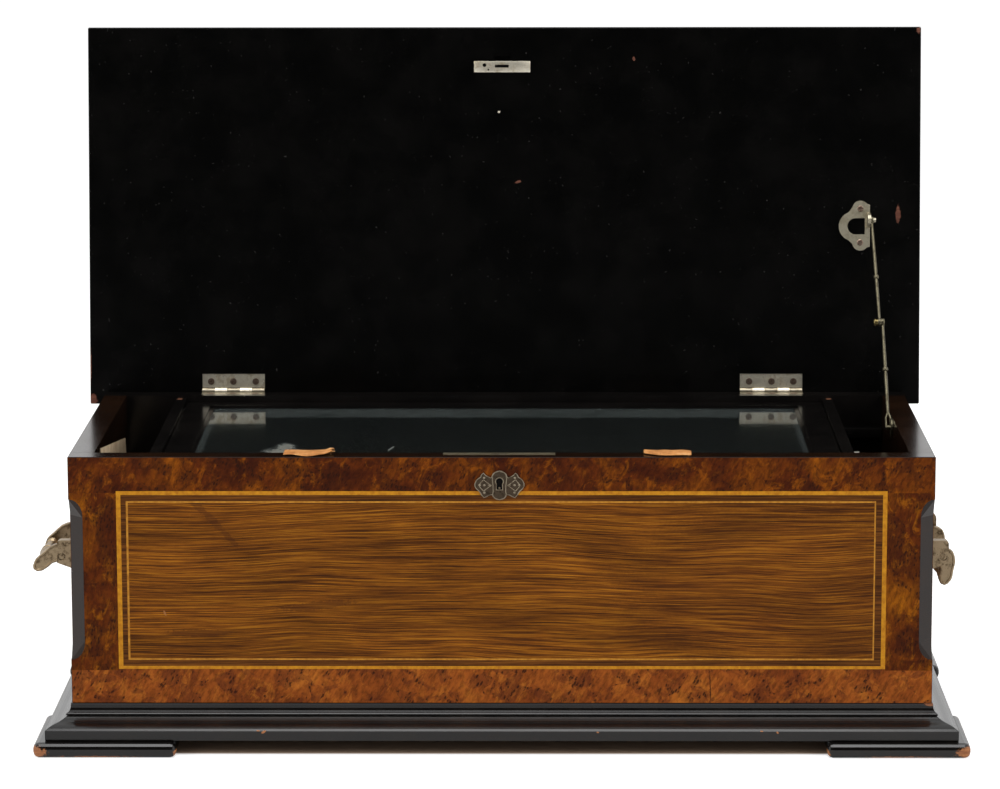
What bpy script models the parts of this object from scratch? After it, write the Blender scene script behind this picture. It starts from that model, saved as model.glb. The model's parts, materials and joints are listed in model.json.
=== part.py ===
# A cylinder music box with its lid open, as a jointed assembly in metres, +Z up.
# Everything is drawn about the middle of the case, at the level of the feet, and
# the empty Placement moves it so that its bounding box is centred over the origin.
import math

import bmesh
import bpy
from mathutils import Matrix, Vector

# Fits
GAP = 0.0003
RUNNING_FIT = 0.00006
LOOSE_FIT = 0.0004
OVERRUN = 0.002

# Case
CASE_WIDTH = 0.610
CASE_DEPTH = 0.262
RIM_HEIGHT = 0.212
WALL = 0.016
END_WALL = 0.017
FOOT_HEIGHT = 0.011
BOARD_LOW = 0.014
BOARD_TOP = 0.026
PARTITION = 0.008
COMPARTMENT = 0.038
PARTITION_DROP = 0.002
CHAMFER = 0.0095
CHAMFER_LOW = 0.0655
CHAMFER_DROP = 0.0305
CHAMFER_RUN_OUT = 0.013

# Plinth and feet
PLINTH_OUT = 0.018
PLINTH_TOP = 0.034
PLINTH_LIP_TOP = 0.0180
PLINTH_OGEE = 0.0005
PLINTH_BEAD = 0.0011
PLINTH_BEAD_OUT = 0.0038
PLINTH_COVE_HEIGHT = 0.0075
PLINTH_COVE_SHARE = 0.8
PLINTH_FILLET = 0.0011
PLINTH_STEPS = 8
PLINTH_COVE_STEPS = 4
FOOT_OUT = 0.026
FOOT_LENGTH = 0.101
FOOT_DEPTH = 0.085
FOOT_ROUND = 0.0042

# Lid
LID_OPEN_DEG = 96.5
LID_END_OVERHANG = 0.01325
LID_THICKNESS = 0.020
LID_STRIP = 0.016
LID_PANEL_DROP = 0.0005
LID_EDGE_EASE = 0.003
LID_OVOLO_SHARE = 0.5
LID_SQUARE_SHARE = 0.4
LID_BEVEL_SHARES = ((0.25, 0.85), (0.20, 1.0))
LID_FRONT_OVERHANG = 0.0124
LID_BACK_REACH = 0.0099
PIN_BEHIND = 0.004

# Butt hinges
LEFT_HINGE_IN = 0.0972
RIGHT_HINGE_IN = 0.1004
HINGE_LENGTH = 0.048
HINGE_LEAF = 0.0015
HINGE_LEAF_REACH = 0.0133
KNUCKLE_RADIUS = 0.0024
KNUCKLES = 5
PIN_RADIUS = 0.0012

# Lock
LOCK_X = -0.0015
LOCK_WIDTH = 0.079
LOCK_DEPTH = 0.0085
LOCK_HEIGHT = 0.042
SELVEDGE = 0.0015
SELVEDGE_DEPTH = 0.011
BOLT_WIDTH = 0.010
BOLT_THICK = 0.003
BOLT_HEIGHT = 0.014
BOLT_THROW = 0.0055
CATCH_WIDTH = 0.043
CATCH_DEPTH = 0.0086
CATCH_THICK = 0.0014
ESCUTCHEON_X = -0.0012
ESCUTCHEON_DROP = 0.0202
ESCUTCHEON_HALF_WIDTH = 0.0175
ESCUTCHEON_HALF_HEIGHT = 0.0103
ESCUTCHEON_BOSS = 0.0045
ESCUTCHEON_WING = 0.0110
ESCUTCHEON_POINT = 0.0092
ESCUTCHEON_LOBE = 0.0042
ESCUTCHEON_THICK = 0.0012
KEYHOLE_RISE = 0.0011
KEYHOLE_RADIUS = 0.0030
KEYHOLE_SLOT = 0.0046
KEYHOLE_HEIGHT = 0.0086

# Lid stay
STAY_LID_IN = 0.0096
STAY_UPPER_IN = 0.0058
STAY_LOWER_IN = 0.0031
STAY_BLADE = 0.0024
STAY_UP_LID = 0.131
STAY_OFF_LID = 0.009
STAY_FOOT_Y = 0.022
STAY_FOOT_DROP = 0.0075
STAY_EYE = 0.0048
STAY_PIN = 0.0019
STAY_ROD = 0.0024
STAY_BEAD = 0.0028
STAY_NECK_SHARE = 0.6
STAY_BEAD_RISE_SHARES = (-1.0, -0.6, -0.2, 0.4)
STAY_KNEE_FLAT = 0.033
STAY_END_FLAT = 0.014
STAY_PLATE = 0.0013
STAY_PLATE_RADIUS = 0.007
STAY_LOBE_IN = 0.0209
STAY_LOBE_UP = 0.1263
STAY_LOBE_RADIUS = 0.0113
STAY_SCREW_IN = 0.0157
STAY_SCREW_LOW = 0.1139
STAY_SCREW_HIGH = 0.1397
STAY_SCREW_LOBE = 0.0062
STAY_SLOT_IN = 0.0194
STAY_SLOT_END_IN = 0.0123
STAY_SLOT_RADIUS = 0.0062

# Glass lid
GLASS_FRAME_FIT = 0.0006
GLASS_FRAME_DROP = 0.0048
GLASS_FRAME_THICK = 0.010
GLASS_FRAME_IN = 0.0015
GLASS_PIVOT_IN = 0.0081
GLASS_PIVOT_RADIUS = 0.0015
GLASS_PIVOT_LENGTH = 0.005
STILE = 0.022
REAR_RAIL = 0.018
GLASS_STEP = 0.0035
GLASS_STEP_DROP = 0.001
PANE_THICK = 0.003
PANE_DROP = 0.0017
TAB_XS = (-0.136, 0.1165)
TAB_WIDTHS = (0.034, 0.031)
TAB_DEPTH = 0.021
TAB_THICK = 0.0014

# End handles
HANDLE_DROP = 0.0895
HANDLE_PIVOT_OUT = 0.0152
PLATE_THICK = 0.003
PLATE_HALF = 0.058
PLATE_POINT = 0.031
PLATE_SHOULDER = 0.014
PLATE_LOWER_POINT = 0.025
EAR_Y = 0.047
EAR_THICK = 0.007
EAR_OUT = 0.0188
EAR_ABOVE = 0.0122
EAR_BELOW = 0.0045
EAR_ROOT_BELOW = 0.0115
EAR_CORNER = 0.003
BAIL_REACH = 0.0198
BAIL_HALF = 0.0355
BAIL_CORNER = 0.0065
BAIL_MIDDLE = 0.0098
BAIL_GRIP_SHARES = (0.8, 0.6, 0.4, 0.2, 0.1)
BAIL_PIN = 0.0026
BAIL_ARM = 0.0054
BAIL_GRIP = 0.0042
BAIL_SWELL = 0.0012
BAIL_PIN_END = 0.0495
LEFT_BAIL_DEG = 28.0
RIGHT_BAIL_DEG = 86.0

# Movement: shafts run along X, and places are given inward from the partitions and walls
BED_LEFT_IN = 0.004
BED_RIGHT_IN = 0.030
BED_FRONT_IN = 0.015
BED_BACK_IN = 0.030
BED_TOP = 0.054
BED_THICK = 0.008
BED_LEG = 0.012
SHAFT_Z = 0.110
CYLINDER_Y = 0.005
CYLINDER_RADIUS = 0.027
CYLINDER_LEFT_IN = 0.092
CYLINDER_RIGHT_IN = 0.078
CYLINDER_RIM = 0.0012
ARBOR_RADIUS = 0.003
LEFT_BEARING_IN = 0.080
RIGHT_BEARING_IN = 0.066
BEARING_THICK = 0.004
BEARING_HEAD = 0.012
BEARING_ROUND = 0.009
COMB_FRONT_IN = 0.017
COMB_THICK = 0.003
COMB_BASE_TO_SHAFT = 0.065
COMB_TEETH = 72
COMB_SLIT = 0.0008
COMB_CLEARANCE = 0.0014

# Gears: teeth are slim, so that a pair turns freely in every phase
DRIVE_MODULE = 0.001
BARREL_TEETH = 60
PINION_TEETH = 20
TRAIN_MODULE = 0.0008
GREAT_TEETH = 60
GOVERNOR_PINION_TEETH = 12
GOVERNOR_TEETH = 36
TOOTH_SHARE = 0.40
TURN_STEPS = 16
ADDENDUM_SHARE = 0.80
DEDENDUM_SHARE = 1.20
FLANK_DEG = 20.0
DRIVE_FACE = 0.006
DRIVE_IN = 0.070
GREAT_IN = 0.074
GREAT_FACE = 0.003

# Spring barrel, winding and click
BARREL_RADIUS = 0.0255
BARREL_IN = 0.020
BARREL_WALL = 0.002
WINDING_RADIUS = 0.004
BARREL_BEARING_IN = 0.010
SPRING_TURNS = 6
SPRING_THICK = 0.0006
SPRING_WIDTH = 0.040
RATCHET_OUT = 0.0175
RATCHET_THICK = 0.003
RATCHET_RADIUS = 0.013
RATCHET_TEETH = 20
RATCHET_DEPTH = 0.002
RATCHET_LEAN = 0.02
LEVER_OUT = 0.028
LEVER_THICK = 0.006
LEVER_LENGTH = 0.118
LEVER_HUB = 0.011
LEVER_KNOB = 0.0075
CLICK_OFFSET_Y = 0.030
CLICK_THICK = 0.0028

# Governor
GOVERNOR_IN = 0.0567
GOVERNOR_FACE = 0.0024
GOVERNOR_ARBOR = 0.002
SCREW_CORE = 0.0017
SCREW_PITCH_RADIUS = 0.0026
SCREW_TURNS = 5
SCREW_ARBOR = 0.0012
SCREW_BELOW = 0.0235
SCREW_ABOVE = 0.0440
FLY_ABOVE = 0.027
FLY_HEIGHT = 0.011
FLY_REACH = 0.010
FLY_THICK = 0.0010
FRAME_WEB_IN = 0.043
FRAME_THICK = 0.004
FRAME_MARGIN = 0.007

# Control levers in the right compartment
CONTROL_OUT = 0.0125
CONTROL_THICK = 0.003
CONTROL_YS = (-0.082, -0.050)
CONTROL_DROP = 0.062
CONTROL_LENGTH = 0.046
CONTROL_HUB = 0.006
CONTROL_KNOB = 0.0045
CONTROL_PIN = 0.002

# Worked out from the above
INNER_X = CASE_WIDTH / 2 - END_WALL
INNER_Y = CASE_DEPTH / 2 - WALL
PARTITION_INNER_X = INNER_X - COMPARTMENT - PARTITION
CHAMFER_HIGH = RIM_HEIGHT - CHAMFER_DROP
ESCUTCHEON_Z = RIM_HEIGHT - ESCUTCHEON_DROP
PIN_Y = CASE_DEPTH / 2 + PIN_BEHIND
LID_OPEN = math.radians(LID_OPEN_DEG)
LID_WIDTH = CASE_WIDTH + 2 * LID_END_OVERHANG
HINGE_XS = (LEFT_HINGE_IN - CASE_WIDTH / 2, CASE_WIDTH / 2 - RIGHT_HINGE_IN)
STAY_LID_X = INNER_X - STAY_LID_IN
STAY_UPPER_X = INNER_X - STAY_UPPER_IN
STAY_LOWER_X = INNER_X - STAY_LOWER_IN
STAY_LOBE_X = INNER_X - STAY_LOBE_IN
STAY_SCREW_X = INNER_X - STAY_SCREW_IN
STAY_SLOT_X = INNER_X - STAY_SLOT_IN
STAY_SLOT_END = INNER_X - STAY_SLOT_END_IN
STAY_FOOT_Z = RIM_HEIGHT - STAY_FOOT_DROP
GLASS_FRAME_HALF = PARTITION_INNER_X - GLASS_FRAME_FIT
GLASS_FRAME_TOP = RIM_HEIGHT - GLASS_FRAME_DROP
GLASS_FRAME_FRONT = GLASS_FRAME_IN - INNER_Y
GLASS_PIVOT_Y = INNER_Y - GLASS_PIVOT_IN
HANDLE_Z = RIM_HEIGHT - HANDLE_DROP
BED_LOW_X = BED_LEFT_IN - PARTITION_INNER_X
BED_HIGH_X = PARTITION_INNER_X - BED_RIGHT_IN
BED_FRONT = BED_FRONT_IN - INNER_Y
BED_BACK = INNER_Y - BED_BACK_IN
CYLINDER_START = CYLINDER_LEFT_IN - PARTITION_INNER_X
CYLINDER_END = PARTITION_INNER_X - CYLINDER_RIGHT_IN
LEFT_BEARING_X = LEFT_BEARING_IN - PARTITION_INNER_X
RIGHT_BEARING_X = PARTITION_INNER_X - RIGHT_BEARING_IN
COMB_FRONT = COMB_FRONT_IN - INNER_Y
COMB_BASE_BACK = CYLINDER_Y - COMB_BASE_TO_SHAFT
DRIVE_X = DRIVE_IN - PARTITION_INNER_X
GREAT_X = PARTITION_INNER_X - GREAT_IN
BARREL_LEFT = BARREL_IN - PARTITION_INNER_X
BARREL_BEARING_X = BARREL_BEARING_IN - PARTITION_INNER_X
RATCHET_X = -PARTITION_INNER_X - RATCHET_OUT
LEVER_X = -PARTITION_INNER_X - LEVER_OUT
GOVERNOR_WHEEL_X = PARTITION_INNER_X - GOVERNOR_IN
FRAME_WEB_X = PARTITION_INNER_X - FRAME_WEB_IN
CONTROL_X = PARTITION_INNER_X + CONTROL_OUT
CONTROL_Z = RIM_HEIGHT - CONTROL_DROP
SCREW_LOW = SHAFT_Z - SCREW_BELOW
SCREW_HIGH = SHAFT_Z + SCREW_ABOVE
FLY_LOW = SHAFT_Z + FLY_ABOVE
FLY_HIGH = FLY_LOW + FLY_HEIGHT
GREAT_RADIUS = TRAIN_MODULE * GREAT_TEETH / 2
GOVERNOR_RADIUS = TRAIN_MODULE * GOVERNOR_TEETH / 2
BARREL_Y = CYLINDER_Y + DRIVE_MODULE * (BARREL_TEETH + PINION_TEETH) / 2
GOVERNOR_Y = CYLINDER_Y + TRAIN_MODULE * (GREAT_TEETH + GOVERNOR_PINION_TEETH) / 2
SCREW_Y = GOVERNOR_Y + GOVERNOR_RADIUS + SCREW_PITCH_RADIUS
SCREW_X = GOVERNOR_WHEEL_X + GOVERNOR_FACE / 2
FRAME_FRONT = GOVERNOR_Y - FRAME_MARGIN
FRAME_BACK = SCREW_Y + FRAME_MARGIN
LEFT_BAIL = math.radians(LEFT_BAIL_DEG)
RIGHT_BAIL = math.radians(RIGHT_BAIL_DEG)
BAIL_END = BAIL_GRIP + BAIL_SWELL
LEFT_REACH = CASE_WIDTH / 2 + HANDLE_PIVOT_OUT + BAIL_REACH * math.cos(LEFT_BAIL) + BAIL_END
RIGHT_REACH = CASE_WIDTH / 2 + FOOT_OUT
FRONT_REACH = CASE_DEPTH / 2 + FOOT_OUT
LID_TIP = CASE_DEPTH + PIN_BEHIND + LID_FRONT_OVERHANG
BACK_REACH = PIN_Y + LID_TIP * -math.cos(LID_OPEN) + LID_THICKNESS * math.sin(LID_OPEN)
SHIFT = Vector(((LEFT_REACH - RIGHT_REACH) / 2, (FRONT_REACH - BACK_REACH) / 2, 0))


def clear_scene():
    for thing in list(bpy.data.objects):
        bpy.data.objects.remove(thing)


def new_collection(name):
    made = bpy.data.collections.new(name)
    bpy.context.scene.collection.children.link(made)
    return made


def make_material(name, colour, metallic, roughness, alpha=1.0):
    made = bpy.data.materials.new(name)
    made.use_nodes = True
    shader = made.node_tree.nodes["Principled BSDF"]
    shader.inputs["Base Color"].default_value = (*colour, 1.0)
    shader.inputs["Metallic"].default_value = metallic
    shader.inputs["Roughness"].default_value = roughness
    shader.inputs["Alpha"].default_value = alpha
    made.diffuse_color = (*colour, alpha)
    return made


clear_scene()
PARTS = new_collection("Music box")
CUTTERS = new_collection("Cutters")
CUTTERS.hide_render = True


def make_empty(name, place, parent=None):
    made = bpy.data.objects.new(name, None)
    made.location = place
    made.parent = parent
    made.empty_display_size = BOARD_TOP
    PARTS.objects.link(made)
    return made


PLACEMENT = make_empty("Placement", SHIFT)
LID_AXIS = make_empty("Lid axis", (0, PIN_Y, RIM_HEIGHT), PLACEMENT)
LID_AXIS.rotation_euler.x = -LID_OPEN


def put_in(obj, bm, group, origin):
    """Moves the shape so that the object's origin is at the given place, and links it."""
    bmesh.ops.recalc_face_normals(bm, faces=bm.faces)
    bmesh.ops.translate(bm, verts=bm.verts, vec=-Vector(origin))
    bm.to_mesh(obj.data)
    bm.free()
    obj.location = origin
    group.objects.link(obj)


def add_part(name, bm, material, parent=PLACEMENT, origin=(0, 0, 0)):
    """A named piece. Its shape is given about the middle of the case, or about its parent."""
    obj = bpy.data.objects.new(name, bpy.data.meshes.new(name))
    put_in(obj, bm, PARTS, origin)
    obj.parent = parent
    obj.data.materials.append(material)
    obj.data.set_sharp_from_angle(angle=math.radians(FLANK_DEG + FLANK_DEG / 2))
    return obj


def use_boolean(obj, bm, operation):
    helper = bpy.data.objects.new(obj.name + " helper", bpy.data.meshes.new("helper"))
    put_in(helper, bm, CUTTERS, (0, 0, 0))
    helper.parent = obj.parent
    helper.display_type = "WIRE"
    helper.hide_render = True
    modifier = obj.modifiers.new(operation.title(), "BOOLEAN")
    modifier.operation = operation
    modifier.solver = "EXACT"
    modifier.object = helper


def cut(obj, *shapes):
    for bm in shapes:
        use_boolean(obj, bm, "DIFFERENCE")


def join(obj, *shapes):
    for bm in shapes:
        use_boolean(obj, bm, "UNION")


def round_edges(obj, width, segments):
    modifier = obj.modifiers.new("Round edges", "BEVEL")
    modifier.width = width
    modifier.segments = segments
    modifier.limit_method = "ANGLE"
    modifier.angle_limit = math.radians(FLANK_DEG + FLANK_DEG / 2)


def block(low, high):
    """A box between two corners."""
    bm = bmesh.new()
    low = Vector(low)
    high = Vector(high)
    size = Matrix.Diagonal((*(high - low), 1))
    bmesh.ops.create_cube(bm, size=1, matrix=Matrix.Translation((low + high) / 2) @ size)
    return bm


def along(axis):
    """The turn that stands a shape's own Z along a world axis, with its X kept level."""
    turns = {
        "X": Matrix(((0, 0, 1), (1, 0, 0), (0, 1, 0))),
        "Y": Matrix(((1, 0, 0), (0, 0, 1), (0, -1, 0))),
        "Z": Matrix.Identity(3),
    }
    return turns[axis].to_4x4()


def rod(axis, start, radius, length, sides=24):
    """A round bar from a start point, along one axis."""
    bm = bmesh.new()
    place = Matrix.Translation(start) @ along(axis) @ Matrix.Translation((0, 0, length / 2))
    bmesh.ops.create_cone(
        bm, cap_ends=True, segments=sides, radius1=radius, radius2=radius, depth=length, matrix=place
    )
    return bm


def prism(axis, outline, start, end):
    """A flat outline pushed along an axis. Points are (y, z) for X, (x, z) for Y, (x, y) for Z."""
    bm = bmesh.new()
    verts = []
    for level in (start, end):
        for first, second in outline:
            point = {"X": (level, first, second), "Y": (first, level, second), "Z": (first, second, level)}
            verts.append(bm.verts.new(point[axis]))
    count = len(outline)
    bm.faces.new(verts[:count])
    bm.faces.new(verts[count:])
    for i in range(count):
        j = (i + 1) % count
        bm.faces.new((verts[i], verts[j], verts[count + j], verts[count + i]))
    return bm


def turned(axis, place, profile, sides=32):
    """A profile of (radius, height) spun about an axis. A profile that stays off the axis makes a ring."""
    bm = bmesh.new()
    points = [bm.verts.new((radius, 0, height)) for radius, height in profile]
    edges = [bm.edges.new(pair) for pair in zip(points, points[1:])]
    if profile[0][0] > 0:
        edges.append(bm.edges.new((points[-1], points[0])))
    bmesh.ops.spin(
        bm, geom=points + edges, cent=(0, 0, 0), axis=(0, 0, 1), angle=math.tau, steps=sides, use_merge=True
    )
    bmesh.ops.remove_doubles(bm, verts=bm.verts, dist=GAP / 100)
    bmesh.ops.transform(bm, matrix=Matrix.Translation(place) @ along(axis), verts=bm.verts)
    return bm


def tube(path, radii, sides=14):
    """A round bar of changing thickness along a path that lies level."""
    bm = bmesh.new()
    rings = []
    for i, point in enumerate(path):
        before = path[max(i - 1, 0)]
        after = path[min(i + 1, len(path) - 1)]
        run = Vector((after[0] - before[0], after[1] - before[1])).normalized()
        across = Vector((run.y, -run.x, 0))
        ring = []
        for k in range(sides):
            angle = math.tau * k / sides
            offset = across * math.cos(angle) + Vector((0, 0, math.sin(angle)))
            ring.append(bm.verts.new(Vector((*point, 0)) + radii[i] * offset))
        rings.append(ring)
    for near, far in zip(rings, rings[1:]):
        for k in range(sides):
            j = (k + 1) % sides
            bm.faces.new((near[k], near[j], far[j], far[k]))
    bm.faces.new(rings[0])
    bm.faces.new(rings[-1])
    return bm


def arc(centre, radius, start_deg, end_deg, steps):
    """Points on a circle, from one angle to another."""
    points = []
    for i in range(steps + 1):
        angle = math.radians(start_deg + (end_deg - start_deg) * i / steps)
        points.append((centre[0] + radius * math.cos(angle), centre[1] + radius * math.sin(angle)))
    return points


def moulding(side, profile, half_run, face):
    """A mitred strip. The profile is (out, up) from a face, and half_run is half the face's length."""
    bm = bmesh.new()
    turn = {"front": -90, "right": 0, "back": 90, "left": 180}[side]
    rings = []
    for end in (-1, 1):
        ring = []
        for out, up in profile:
            reach = half_run + out - GAP
            ring.append(bm.verts.new((face + out, end * reach, up)))
        rings.append(ring)
    count = len(profile)
    bm.faces.new(rings[0])
    bm.faces.new(rings[1])
    for i in range(count):
        j = (i + 1) % count
        bm.faces.new((rings[0][i], rings[0][j], rings[1][j], rings[1][i]))
    bmesh.ops.transform(bm, matrix=Matrix.Rotation(math.radians(turn), 4, "Z"), verts=bm.verts)
    return bm


def gear_outline(centre, module, teeth, first_deg):
    """The outline of a spur gear, with the middle of one tooth at first_deg."""
    pitch = module * teeth / 2
    slope = math.tan(math.radians(FLANK_DEG))
    half = math.pi * module * TOOTH_SHARE / 2
    outer = ADDENDUM_SHARE * module
    root = DEDENDUM_SHARE * module
    points = []
    for tooth in range(teeth):
        middle = math.radians(first_deg) + math.tau * tooth / teeth
        for side, level in ((-1, -root), (-1, outer), (1, outer), (1, -root)):
            radius = pitch + level
            angle = middle + side * (half - level * slope) / pitch
            points.append((centre[0] + radius * math.cos(angle), centre[1] + radius * math.sin(angle)))
    return points


def make_materials():
    return {
        "veneer": make_material("Veneer", (0.22, 0.075, 0.018), 0.0, 0.3),
        "ebonised": make_material("Ebonised wood", (0.012, 0.010, 0.009), 0.0, 0.25),
        "wood": make_material("Plain wood", (0.14, 0.075, 0.035), 0.0, 0.6),
        "brass": make_material("Brass", (0.52, 0.36, 0.13), 1.0, 0.35),
        "cast": make_material("Cast handle metal", (0.12, 0.11, 0.10), 1.0, 0.45),
        "iron": make_material("Cast iron", (0.10, 0.10, 0.10), 0.8, 0.6),
        "steel": make_material("Steel", (0.45, 0.45, 0.46), 1.0, 0.3),
        "glass": make_material("Glass", (0.75, 0.85, 0.82), 0.0, 0.05, 0.35),
        "leather": make_material("Leather", (0.45, 0.22, 0.09), 0.0, 0.7),
    }


MATERIALS = make_materials()


def keyhole_outline():
    """A round hole over a parallel slot, as (x, z)."""
    top = ESCUTCHEON_Z + KEYHOLE_RISE + KEYHOLE_HEIGHT / 2 - KEYHOLE_RADIUS
    low = ESCUTCHEON_Z + KEYHOLE_RISE - KEYHOLE_HEIGHT / 2
    side = math.degrees(math.asin(KEYHOLE_SLOT / 2 / KEYHOLE_RADIUS))
    points = arc((ESCUTCHEON_X, top), KEYHOLE_RADIUS, side - 90, 270 - side, 12)
    points.append((ESCUTCHEON_X - KEYHOLE_SLOT / 2, low))
    points.append((ESCUTCHEON_X + KEYHOLE_SLOT / 2, low))
    return points


def chamfer_cutter(side):
    """The tool that runs a stopped chamfer down one front corner."""
    depth = CHAMFER / math.sqrt(2)
    slope = CHAMFER_RUN_OUT / depth
    outline = [
        (-OVERRUN, CHAMFER_LOW - OVERRUN * slope),
        (depth, CHAMFER_LOW + CHAMFER_RUN_OUT),
        (depth, CHAMFER_HIGH - CHAMFER_RUN_OUT),
        (-OVERRUN, CHAMFER_HIGH + OVERRUN * slope),
    ]
    bm = prism("X", outline, -CHAMFER, CHAMFER)
    corner = Vector((side * CASE_WIDTH / 2, -CASE_DEPTH / 2, 0))
    turn = Matrix.Rotation(math.radians(45 * side), 4, "Z")
    bmesh.ops.transform(bm, matrix=Matrix.Translation(corner) @ turn, verts=bm.verts)
    return bm


def lock_box(clearance):
    """The body of the box lock, let into the back of the front wall."""
    half = LOCK_WIDTH / 2 + clearance
    low = (LOCK_X - half, -INNER_Y - LOCK_DEPTH - clearance, RIM_HEIGHT - LOCK_HEIGHT - clearance)
    return block(low, (LOCK_X + half, -INNER_Y + clearance, RIM_HEIGHT + clearance))


def make_front_wall():
    low = (-CASE_WIDTH / 2, -CASE_DEPTH / 2, FOOT_HEIGHT)
    wall = add_part("front_wall", block(low, (CASE_WIDTH / 2, -INNER_Y, RIM_HEIGHT)), MATERIALS["veneer"])
    cut(wall, chamfer_cutter(-1), chamfer_cutter(1), lock_box(GAP))
    cut(wall, prism("Y", keyhole_outline(), -CASE_DEPTH / 2 - OVERRUN, -INNER_Y))


def case_leaf_span(x):
    return (
        (x - HINGE_LENGTH / 2 - GAP, PIN_Y - HINGE_LEAF_REACH - GAP, RIM_HEIGHT - HINGE_LEAF - GAP),
        (x + HINGE_LENGTH / 2 + GAP, CASE_DEPTH / 2 + OVERRUN, RIM_HEIGHT + OVERRUN),
    )


def make_walls():
    low = (-CASE_WIDTH / 2, INNER_Y, FOOT_HEIGHT)
    high = (CASE_WIDTH / 2, CASE_DEPTH / 2, RIM_HEIGHT)
    back = add_part("back_wall", block(low, high), MATERIALS["ebonised"])
    for x in HINGE_XS:
        cut(back, block(*case_leaf_span(x)))
    for name, side in (("left_end", -1), ("right_end", 1)):
        xs = sorted((side * INNER_X, side * CASE_WIDTH / 2))
        low = (xs[0], -INNER_Y + GAP, FOOT_HEIGHT)
        high = (xs[1], INNER_Y - GAP, RIM_HEIGHT)
        add_part(name, block(low, high), MATERIALS["veneer"])


def make_bottom():
    low = (-INNER_X + GAP, -INNER_Y + GAP, BOARD_LOW)
    high = (INNER_X - GAP, INNER_Y - GAP, BOARD_TOP)
    add_part("bottom_board", block(low, high), MATERIALS["wood"])


def make_partitions():
    for name, side in (("left_partition", -1), ("right_partition", 1)):
        xs = sorted((side * PARTITION_INNER_X, side * (PARTITION_INNER_X + PARTITION)))
        low = (xs[0], -INNER_Y + GAP, BOARD_TOP + GAP)
        high = (xs[1], INNER_Y - GAP, RIM_HEIGHT - PARTITION_DROP)
        panel = add_part(name, block(low, high), MATERIALS["ebonised"])
        pivot = (side * (PARTITION_INNER_X - OVERRUN), GLASS_PIVOT_Y, GLASS_FRAME_TOP - GLASS_FRAME_THICK / 2)
        start = min(pivot[0], pivot[0] + side * (GLASS_PIVOT_LENGTH + OVERRUN * 2))
        length = GLASS_PIVOT_LENGTH + OVERRUN * 2
        cut(panel, rod("X", (start, *pivot[1:]), GLASS_PIVOT_RADIUS + RUNNING_FIT, length))
        if side < 0:
            start = (xs[0] - OVERRUN, BARREL_Y, SHAFT_Z)
            cut(panel, rod("X", start, WINDING_RADIUS + LOOSE_FIT, PARTITION + 2 * OVERRUN))
            start = (xs[0] - OVERRUN, *click_pivot())
            cut(panel, rod("X", start, CONTROL_PIN + RUNNING_FIT, PARTITION / 2 + OVERRUN))
            continue
        for y in CONTROL_YS:
            start = (xs[1] - PARTITION / 2, y, CONTROL_Z)
            cut(panel, rod("X", start, CONTROL_PIN + RUNNING_FIT, PARTITION / 2 + OVERRUN))


def plinth_profile():
    """Lip, ogee, bead, cove and fillet, as (out, up) from the case."""
    profile = [(GAP, FOOT_HEIGHT), (PLINTH_OUT, FOOT_HEIGHT), (PLINTH_OUT, PLINTH_LIP_TOP)]
    bead_z = PLINTH_TOP - PLINTH_COVE_HEIGHT
    run = PLINTH_OUT - PLINTH_BEAD_OUT
    rise = bead_z - PLINTH_BEAD - PLINTH_LIP_TOP
    for i in range(1, PLINTH_STEPS):
        share = i / PLINTH_STEPS
        wave = PLINTH_OGEE * math.sin(math.tau * share)
        profile.append((PLINTH_OUT - run * share, PLINTH_LIP_TOP + rise * share + wave))
    profile += arc((PLINTH_BEAD_OUT - PLINTH_BEAD / 2, bead_z), PLINTH_BEAD, -70, 60, 4)
    cove = PLINTH_BEAD_OUT - PLINTH_FILLET
    cove_rise = (PLINTH_COVE_HEIGHT - PLINTH_BEAD) * PLINTH_COVE_SHARE
    for i in range(1, PLINTH_COVE_STEPS + 1):
        angle = math.radians(90) * i / PLINTH_COVE_STEPS
        out = PLINTH_FILLET + cove * (1 - math.sin(angle))
        up = bead_z + PLINTH_BEAD + cove_rise * (1 - math.cos(angle))
        profile.append((out, up))
    profile += [(PLINTH_FILLET, PLINTH_TOP), (GAP, PLINTH_TOP)]
    return profile


def make_plinth():
    runs = {
        "front": (CASE_WIDTH / 2, CASE_DEPTH / 2),
        "back": (CASE_WIDTH / 2, CASE_DEPTH / 2),
        "left": (CASE_DEPTH / 2, CASE_WIDTH / 2),
        "right": (CASE_DEPTH / 2, CASE_WIDTH / 2),
    }
    for side, (half_run, face) in runs.items():
        strip = moulding(side, plinth_profile(), half_run, face)
        add_part("plinth_" + side, strip, MATERIALS["ebonised"])


def make_feet():
    for end, y_side in (("front", -1), ("back", 1)):
        for side, x_side in (("left", -1), ("right", 1)):
            outer = Vector((x_side * (CASE_WIDTH / 2 + FOOT_OUT), y_side * (CASE_DEPTH / 2 + FOOT_OUT), 0))
            inner = outer - Vector((x_side * FOOT_LENGTH, y_side * FOOT_DEPTH, GAP - FOOT_HEIGHT))
            low = [min(pair) for pair in zip(outer, inner)]
            high = [max(pair) for pair in zip(outer, inner)]
            foot = add_part(f"foot_{end}_{side}", block(low, high), MATERIALS["ebonised"])
            round_edges(foot, FOOT_ROUND, 3)


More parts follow.
